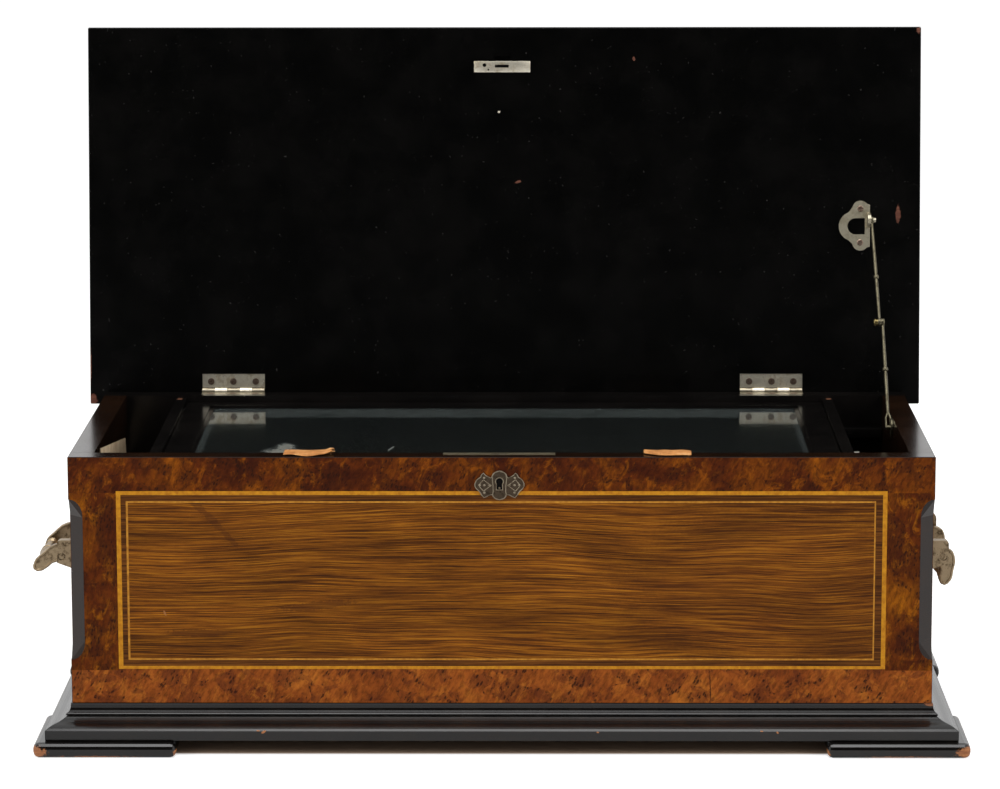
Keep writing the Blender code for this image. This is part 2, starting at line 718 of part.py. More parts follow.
def escutcheon_outline():
    """A boss for the keyhole between two wings, each with two points and a round lobe, as (x, z)."""
    boss_z = ESCUTCHEON_HALF_HEIGHT - ESCUTCHEON_BOSS
    neck_z = boss_z + ESCUTCHEON_THICK / 3
    half = arc((0, boss_z), ESCUTCHEON_BOSS, 90, 10, 5)
    half += [(ESCUTCHEON_WING, ESCUTCHEON_POINT)]
    lobe_x = ESCUTCHEON_HALF_WIDTH - ESCUTCHEON_LOBE
    half += [(lobe_x, neck_z)]
    half += arc((lobe_x, 0), ESCUTCHEON_LOBE, 65, -65, 6)
    half += [(lobe_x, -neck_z), (ESCUTCHEON_WING, -ESCUTCHEON_POINT)]
    half += arc((0, -boss_z), ESCUTCHEON_BOSS, -10, -90, 5)
    mirrored = [(-x, z) for x, z in half[-2:0:-1]]
    return [(ESCUTCHEON_X + x, ESCUTCHEON_Z + z) for x, z in half + mirrored]


def make_escutcheon():
    face = -CASE_DEPTH / 2 - GAP
    bm = prism("Y", escutcheon_outline(), face - ESCUTCHEON_THICK, face)
    plate = add_part("escutcheon", bm, MATERIALS["brass"])
    cut(plate, prism("Y", keyhole_outline(), face - OVERRUN, face + OVERRUN))


def make_lock():
    case = add_part("box_lock", lock_box(0), MATERIALS["brass"])
    middle = -INNER_Y - LOCK_DEPTH / 2
    channel_half = BOLT_WIDTH / 2 + LOOSE_FIT
    deep = BOLT_THICK / 2 + LOOSE_FIT
    floor = RIM_HEIGHT - BOLT_HEIGHT - GAP
    low = (LOCK_X - channel_half, middle - deep, floor)
    cut(case, block(low, (LOCK_X + channel_half, middle + deep, RIM_HEIGHT + OVERRUN)))
    bolt_low = (LOCK_X - BOLT_WIDTH / 2, middle - BOLT_THICK / 2, RIM_HEIGHT - BOLT_HEIGHT)
    bolt_high = (LOCK_X + BOLT_WIDTH / 2, middle + BOLT_THICK / 2, RIM_HEIGHT - GAP)
    add_part("lock_bolt", block(bolt_low, bolt_high), MATERIALS["steel"])


def lid_profile():
    """The moulded edge of the lid, as (out, up) from its panel's edge and the rim."""
    square = LID_THICKNESS * LID_SQUARE_SHARE
    ovolo = LID_STRIP * LID_OVOLO_SHARE
    profile = [(GAP, GAP), (LID_STRIP - LID_EDGE_EASE, GAP), (LID_STRIP, LID_EDGE_EASE), (LID_STRIP, square)]
    profile += arc((LID_STRIP - ovolo, square), ovolo, 0, 90, 5)
    profile += [(LID_STRIP * out, LID_THICKNESS * up) for out, up in LID_BEVEL_SHARES]
    return profile + [(GAP, LID_THICKNESS)]


def lid_box():
    """The lid panel's edges as (half width, front, back), about the hinge pin."""
    return LID_WIDTH / 2 - LID_STRIP, -LID_TIP + LID_STRIP, LID_BACK_REACH - LID_STRIP


def make_lid():
    half, front, back = lid_box()
    bm = block((-half, front, GAP), (half, back, LID_THICKNESS - LID_PANEL_DROP))
    panel = add_part("lid_panel", bm, MATERIALS["ebonised"])
    slot = LOCK_X - BOLT_WIDTH / 2 - 2 * LOOSE_FIT
    middle = -INNER_Y - LOCK_DEPTH / 2 - PIN_Y
    reach = BOLT_THICK / 2 + 2 * LOOSE_FIT
    high = (LOCK_X + BOLT_WIDTH / 2 + 2 * LOOSE_FIT, middle + reach, BOLT_THROW + GAP * 3)
    cut(panel, block((slot, middle - reach, -OVERRUN), high))
    recess = CATCH_DEPTH / 2 + GAP
    low = (LOCK_X - CATCH_WIDTH / 2 - GAP, middle - recess, -OVERRUN)
    cut(panel, block(low, (LOCK_X + CATCH_WIDTH / 2 + GAP, middle + recess, CATCH_THICK + 2 * GAP)))
    centre = (front + back) / 2
    runs = {"front": (half, -front), "back": (half, back), "left": ((back - front) / 2, half)}
    runs["right"] = runs["left"]
    strips = {}
    for side, (half_run, face) in runs.items():
        bm = moulding(side, lid_profile(), half_run, face)
        if side in ("left", "right"):
            bmesh.ops.translate(bm, verts=bm.verts, vec=(0, centre, 0))
        strips[side] = add_part("lid_moulding_" + side, bm, MATERIALS["ebonised"], LID_AXIS)
    panel.parent = LID_AXIS
    for modifier in panel.modifiers:
        modifier.object.parent = LID_AXIS
    half_leaf = HINGE_LENGTH / 2 + GAP
    for x in HINGE_XS:
        for piece in (panel, strips["back"]):
            low = (x - half_leaf, -HINGE_LEAF_REACH - GAP, -OVERRUN)
            cut(piece, block(low, (x + half_leaf, 0, HINGE_LEAF + 2 * GAP)))
        start = (x - half_leaf, 0, 0)
        cut(strips["back"], rod("X", start, KNUCKLE_RADIUS + 2 * GAP, 2 * half_leaf))


def make_catch():
    middle = -INNER_Y - LOCK_DEPTH / 2 - PIN_Y
    low = (LOCK_X - CATCH_WIDTH / 2, middle - CATCH_DEPTH / 2, GAP)
    high = (LOCK_X + CATCH_WIDTH / 2, middle + CATCH_DEPTH / 2, GAP + CATCH_THICK)
    plate = add_part("lid_catch_plate", block(low, high), MATERIALS["brass"], LID_AXIS)
    reach = BOLT_THICK / 2 + LOOSE_FIT
    half_slot = BOLT_WIDTH / 2 + LOOSE_FIT
    low = (LOCK_X - half_slot, middle - reach, -OVERRUN)
    cut(plate, block(low, (LOCK_X + half_slot, middle + reach, OVERRUN)))


def hinge_leaf(name, x, first, parent, pin, leaf_low):
    """One leaf of a butt hinge: a plate and every other knuckle, bored for the pin."""
    low = (x - HINGE_LENGTH / 2, pin[1] - HINGE_LEAF_REACH, leaf_low)
    high = (x + HINGE_LENGTH / 2, pin[1] - PIN_RADIUS / 2, leaf_low + HINGE_LEAF - GAP)
    leaf = add_part(name, block(low, high), MATERIALS["brass"], parent)
    pitch = HINGE_LENGTH / KNUCKLES
    for k in range(KNUCKLES):
        start = x - HINGE_LENGTH / 2 + k * pitch
        if k % 2 == first:
            join(leaf, rod("X", (start, *pin[1:]), KNUCKLE_RADIUS, pitch - GAP, 20))
            continue
        room = (start - GAP, pin[1] - KNUCKLE_RADIUS - GAP, pin[2] - HINGE_LEAF_REACH)
        end = (start + pitch, pin[1] + HINGE_LEAF_REACH, pin[2] + HINGE_LEAF_REACH)
        cut(leaf, block(room, end))
    bore = (x - HINGE_LENGTH / 2 - OVERRUN, *pin[1:])
    cut(leaf, rod("X", bore, PIN_RADIUS + RUNNING_FIT, HINGE_LENGTH + 2 * OVERRUN, 20))


def make_hinges():
    for name, x in zip(("left", "right"), HINGE_XS):
        pin = (x, PIN_Y, RIM_HEIGHT)
        hinge_leaf("hinge_case_leaf_" + name, x, 0, PLACEMENT, pin, RIM_HEIGHT - HINGE_LEAF)
        hinge_leaf("hinge_lid_leaf_" + name, x, 1, LID_AXIS, (x, 0, 0), GAP * 2)
        start = (x - HINGE_LENGTH / 2, PIN_Y, RIM_HEIGHT)
        add_part("hinge_pin_" + name, rod("X", start, PIN_RADIUS, HINGE_LENGTH - GAP, 20), MATERIALS["steel"])


def stay_places():
    """The stay's pivots as (y, z), at the open lid and at the case, and the length of a link."""
    up = Vector((-math.cos(LID_OPEN), math.sin(LID_OPEN)))
    inward = Vector((-math.sin(LID_OPEN), -math.cos(LID_OPEN)))
    pin = Vector((PIN_Y, RIM_HEIGHT))
    opened = pin + up * STAY_UP_LID + inward * STAY_OFF_LID
    foot = Vector((STAY_FOOT_Y, STAY_FOOT_Z))
    return opened, foot, (opened - foot).length / 2


def stay_link(name, x, knee_pin, pivot, direction, end_pin_hole):
    """One half of the stay from its end pivot to its knee: eye, flat, rod, bead, flat, eye."""
    length = stay_places()[2]
    half = STAY_BLADE / 2
    bm = block((-half, 0, -STAY_PIN - half), (half, length, STAY_PIN + half))
    link = add_part(name, bm, MATERIALS["steel"])
    for y in (0, length):
        join(link, rod("X", (-half, y, 0), STAY_EYE, STAY_BLADE, 20))
    start = (0, STAY_END_FLAT, 0)
    rod_length = length - STAY_END_FLAT - STAY_KNEE_FLAT
    rises = [rod_length + STAY_BEAD * share for share in STAY_BEAD_RISE_SHARES]
    bead_low, swell_low, swell_top, bead_top = rises
    neck = STAY_ROD * STAY_NECK_SHARE
    profile = [(0, 0), (neck, 0), (STAY_ROD, STAY_ROD), (STAY_ROD, bead_low)]
    profile += [(STAY_BEAD, swell_low), (STAY_BEAD, swell_top), (neck, bead_top), (0, bead_top)]
    join(link, turned("Y", start, profile, 16))
    over = STAY_BLADE + 2 * OVERRUN
    cut(link, rod("X", (-half - OVERRUN, 0, 0), end_pin_hole, over, 20))
    if knee_pin:
        reach = STAY_UPPER_X - STAY_BLADE / 2 - GAP * 2 - x
        join(link, rod("X", (reach, length, 0), STAY_PIN, -reach, 20))
    else:
        cut(link, rod("X", (-half - OVERRUN, length, 0), STAY_PIN + RUNNING_FIT, over, 20))
    link.location = (x, *pivot)
    link.rotation_euler.x = direction
    for modifier in link.modifiers:
        modifier.object.location = link.location
        modifier.object.rotation_euler = link.rotation_euler


def make_stay():
    opened, foot, length = stay_places()
    run = opened - foot
    lean = math.atan2(run.y, run.x)
    stay_link("stay_lower_link", STAY_LOWER_X, True, foot, lean, STAY_PIN + RUNNING_FIT)
    stay_link("stay_upper_link", STAY_UPPER_X, False, opened, lean + math.pi, STAY_PIN + LOOSE_FIT)
    plate_x = INNER_X - GAP - STAY_PLATE
    disc = rod("X", (plate_x, *foot), STAY_PLATE_RADIUS, STAY_PLATE)
    bracket = add_part("stay_case_bracket", disc, MATERIALS["brass"])
    tip = STAY_LOWER_X - STAY_BLADE / 2
    join(bracket, rod("X", (tip, *foot), STAY_PIN, INNER_X - GAP * 2 - tip, 20))


def make_stay_lid_bracket():
    """A lobed plate on the lid, slotted, with an ear that holds the stay's upper pivot."""
    ear_left = STAY_LID_X - STAY_BLADE / 2
    ear_right = STAY_LID_X + STAY_BLADE / 2
    edge_low = -STAY_SCREW_HIGH - STAY_SCREW_LOBE / 2
    edge_high = -STAY_SCREW_LOW + STAY_SCREW_LOBE / 2
    plate = [(ear_right, edge_high), (ear_right, edge_low)]
    plate += arc((STAY_SCREW_X, -STAY_SCREW_HIGH), STAY_SCREW_LOBE, -40, -170, 7)
    plate += arc((STAY_LOBE_X, -STAY_LOBE_UP), STAY_LOBE_RADIUS, -110, -250, 9)
    plate += arc((STAY_SCREW_X, -STAY_SCREW_LOW), STAY_SCREW_LOBE, 170, 40, 7)
    bm = prism("Z", plate, -STAY_PLATE, 0)
    bracket = add_part("stay_lid_bracket", bm, MATERIALS["brass"], LID_AXIS)
    slot = [(STAY_SLOT_END, -STAY_LOBE_UP - STAY_SLOT_RADIUS)]
    slot += arc((STAY_SLOT_X, -STAY_LOBE_UP), STAY_SLOT_RADIUS, -90, -270, 10)
    slot.append((STAY_SLOT_END, -STAY_LOBE_UP + STAY_SLOT_RADIUS))
    cut(bracket, prism("Z", slot, -STAY_PLATE - OVERRUN, OVERRUN))
    side = STAY_EYE + STAY_PLATE
    outline = [(-STAY_UP_LID + side, 0), (-STAY_UP_LID - side, 0)]
    outline += arc((-STAY_UP_LID, -STAY_OFF_LID), STAY_EYE, 200, 340, 8)
    join(bracket, prism("X", outline, ear_left, ear_right))
    pivot = (ear_left + GAP, -STAY_UP_LID, -STAY_OFF_LID)
    pin_end = STAY_UPPER_X + STAY_BLADE / 2
    join(bracket, rod("X", pivot, STAY_PIN, pin_end - pivot[0], 20))


def make_glass_lid():
    low_z = GLASS_FRAME_TOP - GLASS_FRAME_THICK
    pivot_z = GLASS_FRAME_TOP - GLASS_FRAME_THICK / 2
    rear = GLASS_PIVOT_Y + GLASS_FRAME_THICK / 2 + GAP * 2
    axis = make_empty("Glass lid axis", (0, GLASS_PIVOT_Y, pivot_z), PLACEMENT)
    origin = Vector((0, GLASS_PIVOT_Y, pivot_z))

    def local(x, y, z):
        return Vector((x, y, z)) - origin

    outer = local(GLASS_FRAME_HALF, rear, GLASS_FRAME_TOP)
    bm = block(local(-GLASS_FRAME_HALF, GLASS_FRAME_FRONT, low_z), outer)
    frame = add_part("glass_frame", bm, MATERIALS["ebonised"], axis)
    hole_x = GLASS_FRAME_HALF - STILE
    hole_y = (GLASS_FRAME_FRONT + STILE, rear - REAR_RAIL)
    spread = GLASS_STEP
    pane_top = GLASS_FRAME_TOP - PANE_DROP
    pane_low = pane_top - PANE_THICK
    low = local(-hole_x, hole_y[0], low_z - OVERRUN)
    cut(frame, block(low, local(hole_x, hole_y[1], GLASS_FRAME_TOP + OVERRUN)))
    low = local(-hole_x - spread, hole_y[0] - spread, GLASS_FRAME_TOP - GLASS_STEP_DROP)
    cut(frame, block(low, local(hole_x + spread, hole_y[1] + spread, GLASS_FRAME_TOP + OVERRUN)))
    low = local(-hole_x - spread, hole_y[0] - spread, pane_low - GAP)
    cut(frame, block(low, local(hole_x + spread, hole_y[1] + spread, pane_top + GAP)))
    inset = spread - GAP
    low = local(-hole_x - inset, hole_y[0] - inset, pane_low)
    pane = block(low, local(hole_x + inset, hole_y[1] + inset, pane_top))
    add_part("glass_pane", pane, MATERIALS["glass"], axis)
    full = 2 * (GLASS_FRAME_HALF + GLASS_PIVOT_LENGTH)
    start = (-full / 2, 0, 0)
    for side in (-1, 1):
        start = (min(side * full / 2, side * (full / 2 - STILE)), 0, 0)
        join(frame, rod("X", start, GLASS_PIVOT_RADIUS, STILE, 16))
    for name, x, width in zip(("left", "right"), TAB_XS, TAB_WIDTHS):
        low = local(x - width / 2, GLASS_FRAME_FRONT + GAP, GLASS_FRAME_TOP + GAP)
        high = local(x + width / 2, GLASS_FRAME_FRONT + TAB_DEPTH, GLASS_FRAME_TOP + GAP + TAB_THICK)
        add_part("pull_tab_" + name, block(low, high), MATERIALS["leather"], axis)


def handle_outline():
    """The back plate: a point above and below, swept shoulders and round ends, as (y, z)."""
    half = []
    end_y = PLATE_HALF - PLATE_SHOULDER
    sweep = PLATE_POINT - PLATE_SHOULDER
    half += arc((sweep, HANDLE_Z + PLATE_POINT), sweep, 180, 270, 5)
    half += arc((end_y, HANDLE_Z), PLATE_SHOULDER, 90, -90, 8)
    lower = PLATE_LOWER_POINT - PLATE_SHOULDER
    half += arc((lower, HANDLE_Z - PLATE_LOWER_POINT), lower, 90, 180, 4)
    mirrored = [(-y, z) for y, z in reversed(half) if y > GAP / 100]
    return half + mirrored


def ear_outline(side):
    """An ear in the (x, z) plane: square above the pivot, with a round corner, and swept in below."""
    root = CASE_WIDTH / 2 + GAP * 2
    outer = CASE_WIDTH / 2 + EAR_OUT
    top = HANDLE_Z + EAR_ABOVE
    points = [(root, HANDLE_Z - EAR_ROOT_BELOW), (root + EAR_CORNER, HANDLE_Z - EAR_ROOT_BELOW)]
    points += [(root + 2 * EAR_CORNER, HANDLE_Z - EAR_BELOW * 2), (outer, HANDLE_Z - EAR_BELOW)]
    points += arc((outer - EAR_CORNER, top - EAR_CORNER), EAR_CORNER, 0, 90, 4)
    points.append((root, top))
    return [(side * x, z) for x, z in points]


def bail_path():
    """The bail's middle line from one pivot to the other, as (x, y) from the pivot axis."""
    half = [(0, -BAIL_PIN_END), (0, -BAIL_HALF - BAIL_CORNER)]
    half += arc((BAIL_CORNER, -BAIL_HALF - BAIL_CORNER), BAIL_CORNER, 180, 90, 4)[1:]
    corner_x = BAIL_REACH - BAIL_CORNER
    half += arc((corner_x, -BAIL_HALF + BAIL_CORNER), BAIL_CORNER, -90, 0, 4)
    grip = -BAIL_HALF + BAIL_CORNER
    half += [(BAIL_REACH, grip * share) for share in BAIL_GRIP_SHARES]
    return half + [(BAIL_REACH, 0)] + [(x, -y) for x, y in reversed(half)]


def bail_radii(path):
    """Slim pins, arms that taper to a ball at each outer corner, and a fuller middle to the grip."""
    corner = Vector((BAIL_REACH, -BAIL_HALF))
    radii = []
    for x, y in path:
        if x < BAIL_CORNER / 2:
            radii.append(BAIL_PIN)
            continue
        near = (Vector((x, -abs(y))) - corner).length
        ball = BAIL_SWELL * math.exp(-((near / BAIL_CORNER) ** 2))
        middle = BAIL_SWELL * math.exp(-((y / BAIL_MIDDLE) ** 2))
        arm = (BAIL_ARM - BAIL_GRIP) * max(0, 1 - x / BAIL_REACH)
        radii.append(BAIL_GRIP + ball + middle + arm)
    return radii


def make_handles():
    for name, side in (("left", -1), ("right", 1)):
        face = CASE_WIDTH / 2 + GAP
        xs = sorted((side * face, side * (face + PLATE_THICK)))
        plate = add_part("handle_plate_" + name, prism("X", handle_outline(), *xs), MATERIALS["cast"])
        for y_side in (-1, 1):
            ys = sorted((y_side * (EAR_Y - EAR_THICK / 2), y_side * (EAR_Y + EAR_THICK / 2)))
            join(plate, prism("Y", ear_outline(side), *ys))
        start = (side * (CASE_WIDTH / 2 + HANDLE_PIVOT_OUT), -PLATE_HALF, HANDLE_Z)
        cut(plate, rod("Y", start, BAIL_PIN + RUNNING_FIT, 2 * PLATE_HALF, 28))
        path = bail_path()
        bail = tube([(side * x, y) for x, y in path], bail_radii(path), 14)
        pivot = (side * (CASE_WIDTH / 2 + HANDLE_PIVOT_OUT), 0, HANDLE_Z)
        made = add_part(name + "_bail", bail, MATERIALS["cast"])
        made.location = pivot
        made.rotation_euler.y = RIGHT_BAIL if side > 0 else -LEFT_BAIL


def make_bed():
    floor = BOARD_TOP + GAP
    under = BED_TOP - BED_THICK
    outline = [(BED_FRONT, floor), (BED_FRONT + BED_LEG, floor), (BED_FRONT + BED_LEG, under)]
    outline += [(BED_BACK - BED_LEG, under), (BED_BACK - BED_LEG, floor), (BED_BACK, floor)]
    outline += [(BED_BACK, BED_TOP), (BED_FRONT, BED_TOP)]
    add_part("bedplate", prism("X", outline, BED_LOW_X, BED_HIGH_X), MATERIALS["iron"])


def make_comb():
    low = (CYLINDER_START, COMB_FRONT, BED_TOP + GAP)
    high = (CYLINDER_END, COMB_BASE_BACK, SHAFT_Z - COMB_THICK / 2 - GAP)
    add_part("comb_base", block(low, high), MATERIALS["iron"])
    tips = CYLINDER_Y - CYLINDER_RADIUS - COMB_CLEARANCE
    roots = COMB_BASE_BACK + BED_LEG / 2
    pitch = (CYLINDER_END - CYLINDER_START) / COMB_TEETH
    outline = [(CYLINDER_END, COMB_FRONT), (CYLINDER_START, COMB_FRONT)]
    for tooth in range(COMB_TEETH):
        left = CYLINDER_START + tooth * pitch
        right = left + pitch - COMB_SLIT
        outline += [(left, roots), (left, tips), (right, tips), (right, roots)]
    outline[2] = (CYLINDER_START, roots + GAP)
    outline.append((CYLINDER_END, roots))
    comb = prism("Z", outline, SHAFT_Z - COMB_THICK / 2, SHAFT_Z + COMB_THICK / 2)
    add_part("comb", comb, MATERIALS["steel"])


def make_cylinder():
    length = CYLINDER_END - CYLINDER_START
    bore = ARBOR_RADIUS + GAP
    inner = CYLINDER_RADIUS - CYLINDER_RIM
    profile = [
        (bore, CYLINDER_RIM),
        (inner, CYLINDER_RIM),
        (inner, 0),
        (CYLINDER_RADIUS, 0),
        (CYLINDER_RADIUS, length),
        (inner, length),
        (inner, length - CYLINDER_RIM),
        (bore, length - CYLINDER_RIM),
    ]
    axis = (0, CYLINDER_Y, SHAFT_Z)
    bm = turned("X", (CYLINDER_START, *axis[1:]), profile, 48)
    add_part("cylinder", bm, MATERIALS["brass"], origin=axis)
    start = LEFT_BEARING_X - BED_LEG
    bm = rod("X", (start, *axis[1:]), ARBOR_RADIUS, RIGHT_BEARING_X + BEARING_THICK + OVERRUN - start)
    arbor = add_part("cylinder_arbor", bm, MATERIALS["steel"], origin=axis)
    pinion = gear_outline(axis[1:], DRIVE_MODULE, PINION_TEETH, 0)
    great = gear_outline(axis[1:], TRAIN_MODULE, GREAT_TEETH, 0)
    join(arbor, prism("X", pinion, DRIVE_X, DRIVE_X + DRIVE_FACE))
    join(arbor, prism("X", great, GREAT_X, GREAT_X + GREAT_FACE))


def bearing_outline(first_y, last_y):
    """A standard with a round head over each end, as (y, z)."""
    outline = [(first_y - BEARING_HEAD, BED_TOP + GAP)]
    outline.append((last_y + BEARING_HEAD, BED_TOP + GAP))
    outline += arc((last_y, SHAFT_Z), BEARING_ROUND, 0, 90, 5)
    outline += arc((first_y, SHAFT_Z), BEARING_ROUND, 90, 180, 5)
    return outline


def make_bearings():
    bearings = {
        "cylinder_bearing_left": (LEFT_BEARING_X, CYLINDER_Y, BARREL_Y, ARBOR_RADIUS, WINDING_RADIUS),
        "cylinder_bearing_right": (RIGHT_BEARING_X, CYLINDER_Y, GOVERNOR_Y, ARBOR_RADIUS, GOVERNOR_ARBOR),
        "barrel_bearing": (BARREL_BEARING_X, BARREL_Y, BARREL_Y, WINDING_RADIUS, None),
    }
    for name, (x, first_y, last_y, first_radius, last_radius) in bearings.items():
        bm = prism("X", bearing_outline(first_y, last_y), x, x + BEARING_THICK)
        bearing = add_part(name, bm, MATERIALS["brass"])
        for y, radius in ((first_y, first_radius), (last_y, last_radius)):
            if radius is not None:
                bore = (x - OVERRUN, y, SHAFT_Z)
                cut(bearing, rod("X", bore, radius + RUNNING_FIT, BEARING_THICK + 2 * OVERRUN))


def spring_outline():
    """The mainspring's strip, coiled inside the barrel, as (y, z)."""
    inner = WINDING_RADIUS + BARREL_WALL
    outer = BARREL_RADIUS - BARREL_WALL - SPRING_THICK - GAP
    steps = SPRING_TURNS * TURN_STEPS
    line = []
    for i in range(steps + 1):
        angle = math.tau * SPRING_TURNS * i / steps
        line.append((angle, inner + (outer - inner) * i / steps))
    near = [(BARREL_Y + r * math.cos(a), SHAFT_Z + r * math.sin(a)) for a, r in line]
    thick = [(a, r + SPRING_THICK) for a, r in line]
    far = [(BARREL_Y + r * math.cos(a), SHAFT_Z + r * math.sin(a)) for a, r in thick]
    return near + far[::-1]


def make_barrel():
    axis = (0, BARREL_Y, SHAFT_Z)
    bore = WINDING_RADIUS + RUNNING_FIT
    depth = DRIVE_X - BARREL_LEFT
    profile = [
        (bore, depth - BARREL_WALL),
        (BARREL_RADIUS - BARREL_WALL, depth - BARREL_WALL),
        (BARREL_RADIUS - BARREL_WALL, 0),
        (BARREL_RADIUS, 0),
        (BARREL_RADIUS, depth + DRIVE_FACE / 2),
        (bore, depth + DRIVE_FACE / 2),
    ]
    bm = turned("X", (BARREL_LEFT, *axis[1:]), profile, 40)
    barrel = add_part("spring_barrel", bm, MATERIALS["brass"], origin=axis)
    teeth = gear_outline(axis[1:], DRIVE_MODULE, BARREL_TEETH, 180 + 180 / BARREL_TEETH)
    join(barrel, prism("X", teeth, DRIVE_X, DRIVE_X + DRIVE_FACE))
    over = (DRIVE_X - OVERRUN, *axis[1:])
    cut(barrel, rod("X", over, bore, DRIVE_FACE + 2 * OVERRUN, 40))
    start = BARREL_LEFT + BARREL_WALL
    strip = prism("X", spring_outline(), start, start + SPRING_WIDTH)
    add_part("mainspring", strip, MATERIALS["steel"], origin=axis)


def ratchet_outline():
    """Saw teeth that hold the winding, as (y, z)."""
    points = []
    for tooth in range(RATCHET_TEETH):
        angle = math.tau * tooth / RATCHET_TEETH
        for radius, turn in ((RATCHET_RADIUS, angle), (RATCHET_RADIUS - RATCHET_DEPTH, angle + RATCHET_LEAN)):
            points.append((BARREL_Y + radius * math.cos(turn), SHAFT_Z + radius * math.sin(turn)))
    return points


def click_pivot():
    return BARREL_Y + CLICK_OFFSET_Y, SHAFT_Z + RATCHET_RADIUS


def make_winding():
    axis = (0, BARREL_Y, SHAFT_Z)
    start = LEVER_X - LEVER_THICK - OVERRUN
    bm = rod("X", (start, *axis[1:]), WINDING_RADIUS, LEFT_BEARING_X + BEARING_THICK + GAP - start, 28)
    arbor = add_part("winding_arbor", bm, MATERIALS["steel"])
    join(arbor, prism("X", ratchet_outline(), RATCHET_X, RATCHET_X + RATCHET_THICK))
    bm = block((LEVER_X - LEVER_THICK, -LEVER_LENGTH, -LEVER_THICK / 2), (LEVER_X, 0, LEVER_THICK / 2))
    lever = add_part("winding_lever", bm, MATERIALS["steel"])
    join(lever, rod("X", (LEVER_X - LEVER_THICK, 0, 0), LEVER_HUB, LEVER_THICK))
    knob = rod("X", (LEVER_X - LEVER_THICK - GAP, -LEVER_LENGTH, 0), LEVER_KNOB, LEVER_THICK + LEVER_HUB)
    join(lever, knob)
    bore = rod("X", (start, 0, 0), WINDING_RADIUS + RUNNING_FIT, LEVER_THICK + 2 * OVERRUN + GAP, 28)
    cut(lever, bore)
    lever.location = axis
    for modifier in lever.modifiers:
        modifier.object.location = axis


def make_click():
    """A pawl on a stub pin, its nose just over the back of a ratchet tooth."""
    pivot_y, pivot_z = click_pivot()
    nose = (BARREL_Y, SHAFT_Z + RATCHET_RADIUS + GAP)
    outline = arc((pivot_y, pivot_z), CONTROL_HUB, -90, 90, 8)
    outline += [(nose[0], nose[1] + CONTROL_HUB / 2), nose]
    xs = (RATCHET_X, RATCHET_X + CLICK_THICK)
    origin = (0, pivot_y, pivot_z)
    click = add_part("click", prism("X", outline, *xs), MATERIALS["steel"], origin=origin)
    reach = -PARTITION_INNER_X - PARTITION / 2 - OVERRUN / 2 - xs[1]
    join(click, rod("X", (xs[1] - GAP, pivot_y, pivot_z), CONTROL_PIN, reach, 20))


def screw_thread():
    """One ridge wound round the endless screw, with a gap facing the governor wheel."""
    bm = bmesh.new()
    pitch = math.pi * TRAIN_MODULE
    steps = TURN_STEPS
    outer = SCREW_PITCH_RADIUS + ADDENDUM_SHARE * TRAIN_MODULE
    half = TOOTH_SHARE * pitch / 2
    lean = ADDENDUM_SHARE * TRAIN_MODULE * math.tan(math.radians(FLANK_DEG))
    root = SCREW_CORE - GAP
    rows = ((root, -half - lean), (outer, lean - half), (outer, half - lean), (root, half + lean))
    rings = []
    for i in range(SCREW_TURNS * steps + 1):
        turn = i / steps - SCREW_TURNS / 2
        angle = math.tau * turn - math.pi / 2
        ring = []
        for radius, rise in rows:
            height = SHAFT_Z + pitch * turn - pitch / 2 + rise
            x = SCREW_X + radius * math.cos(angle)
            ring.append(bm.verts.new((x, SCREW_Y + radius * math.sin(angle), height)))
        rings.append(ring)
    for near, far in zip(rings, rings[1:]):
        for k in range(4):
            j = (k + 1) % 4
            bm.faces.new((near[k], near[j], far[j], far[k]))
    bm.faces.new(rings[0])
    bm.faces.new(rings[-1])
    return bm


def make_governor():
    axis = (0, GOVERNOR_Y, SHAFT_Z)
    start = GREAT_X - OVERRUN
    bm = rod("X", (start, *axis[1:]), GOVERNOR_ARBOR, FRAME_WEB_X + FRAME_THICK + GAP - start)
    train = add_part("governor_wheel", bm, MATERIALS["brass"], origin=axis)
    pinion = gear_outline(axis[1:], TRAIN_MODULE, GOVERNOR_PINION_TEETH, 180 / GOVERNOR_PINION_TEETH)
    wheel = gear_outline(axis[1:], TRAIN_MODULE, GOVERNOR_TEETH, 0)
    join(train, prism("X", pinion, GREAT_X - GAP * 2, GREAT_X + GREAT_FACE + GAP * 2))
    join(train, prism("X", wheel, GOVERNOR_WHEEL_X, GOVERNOR_WHEEL_X + GOVERNOR_FACE))
    place = (SCREW_X, SCREW_Y)
    bm = rod("Z", (*place, SCREW_LOW), SCREW_ARBOR, SCREW_HIGH - SCREW_LOW, 16)
    screw = add_part("endless_screw", bm, MATERIALS["steel"], origin=(*place, 0))
    core = (SCREW_TURNS + 2) * math.pi * TRAIN_MODULE
    join(screw, rod("Z", (*place, SHAFT_Z - core / 2), SCREW_CORE, core, 16), screw_thread())
    low = (SCREW_X - FLY_REACH, SCREW_Y - FLY_THICK / 2, FLY_LOW)
    join(screw, block(low, (SCREW_X + FLY_REACH, SCREW_Y + FLY_THICK / 2, FLY_HIGH)))


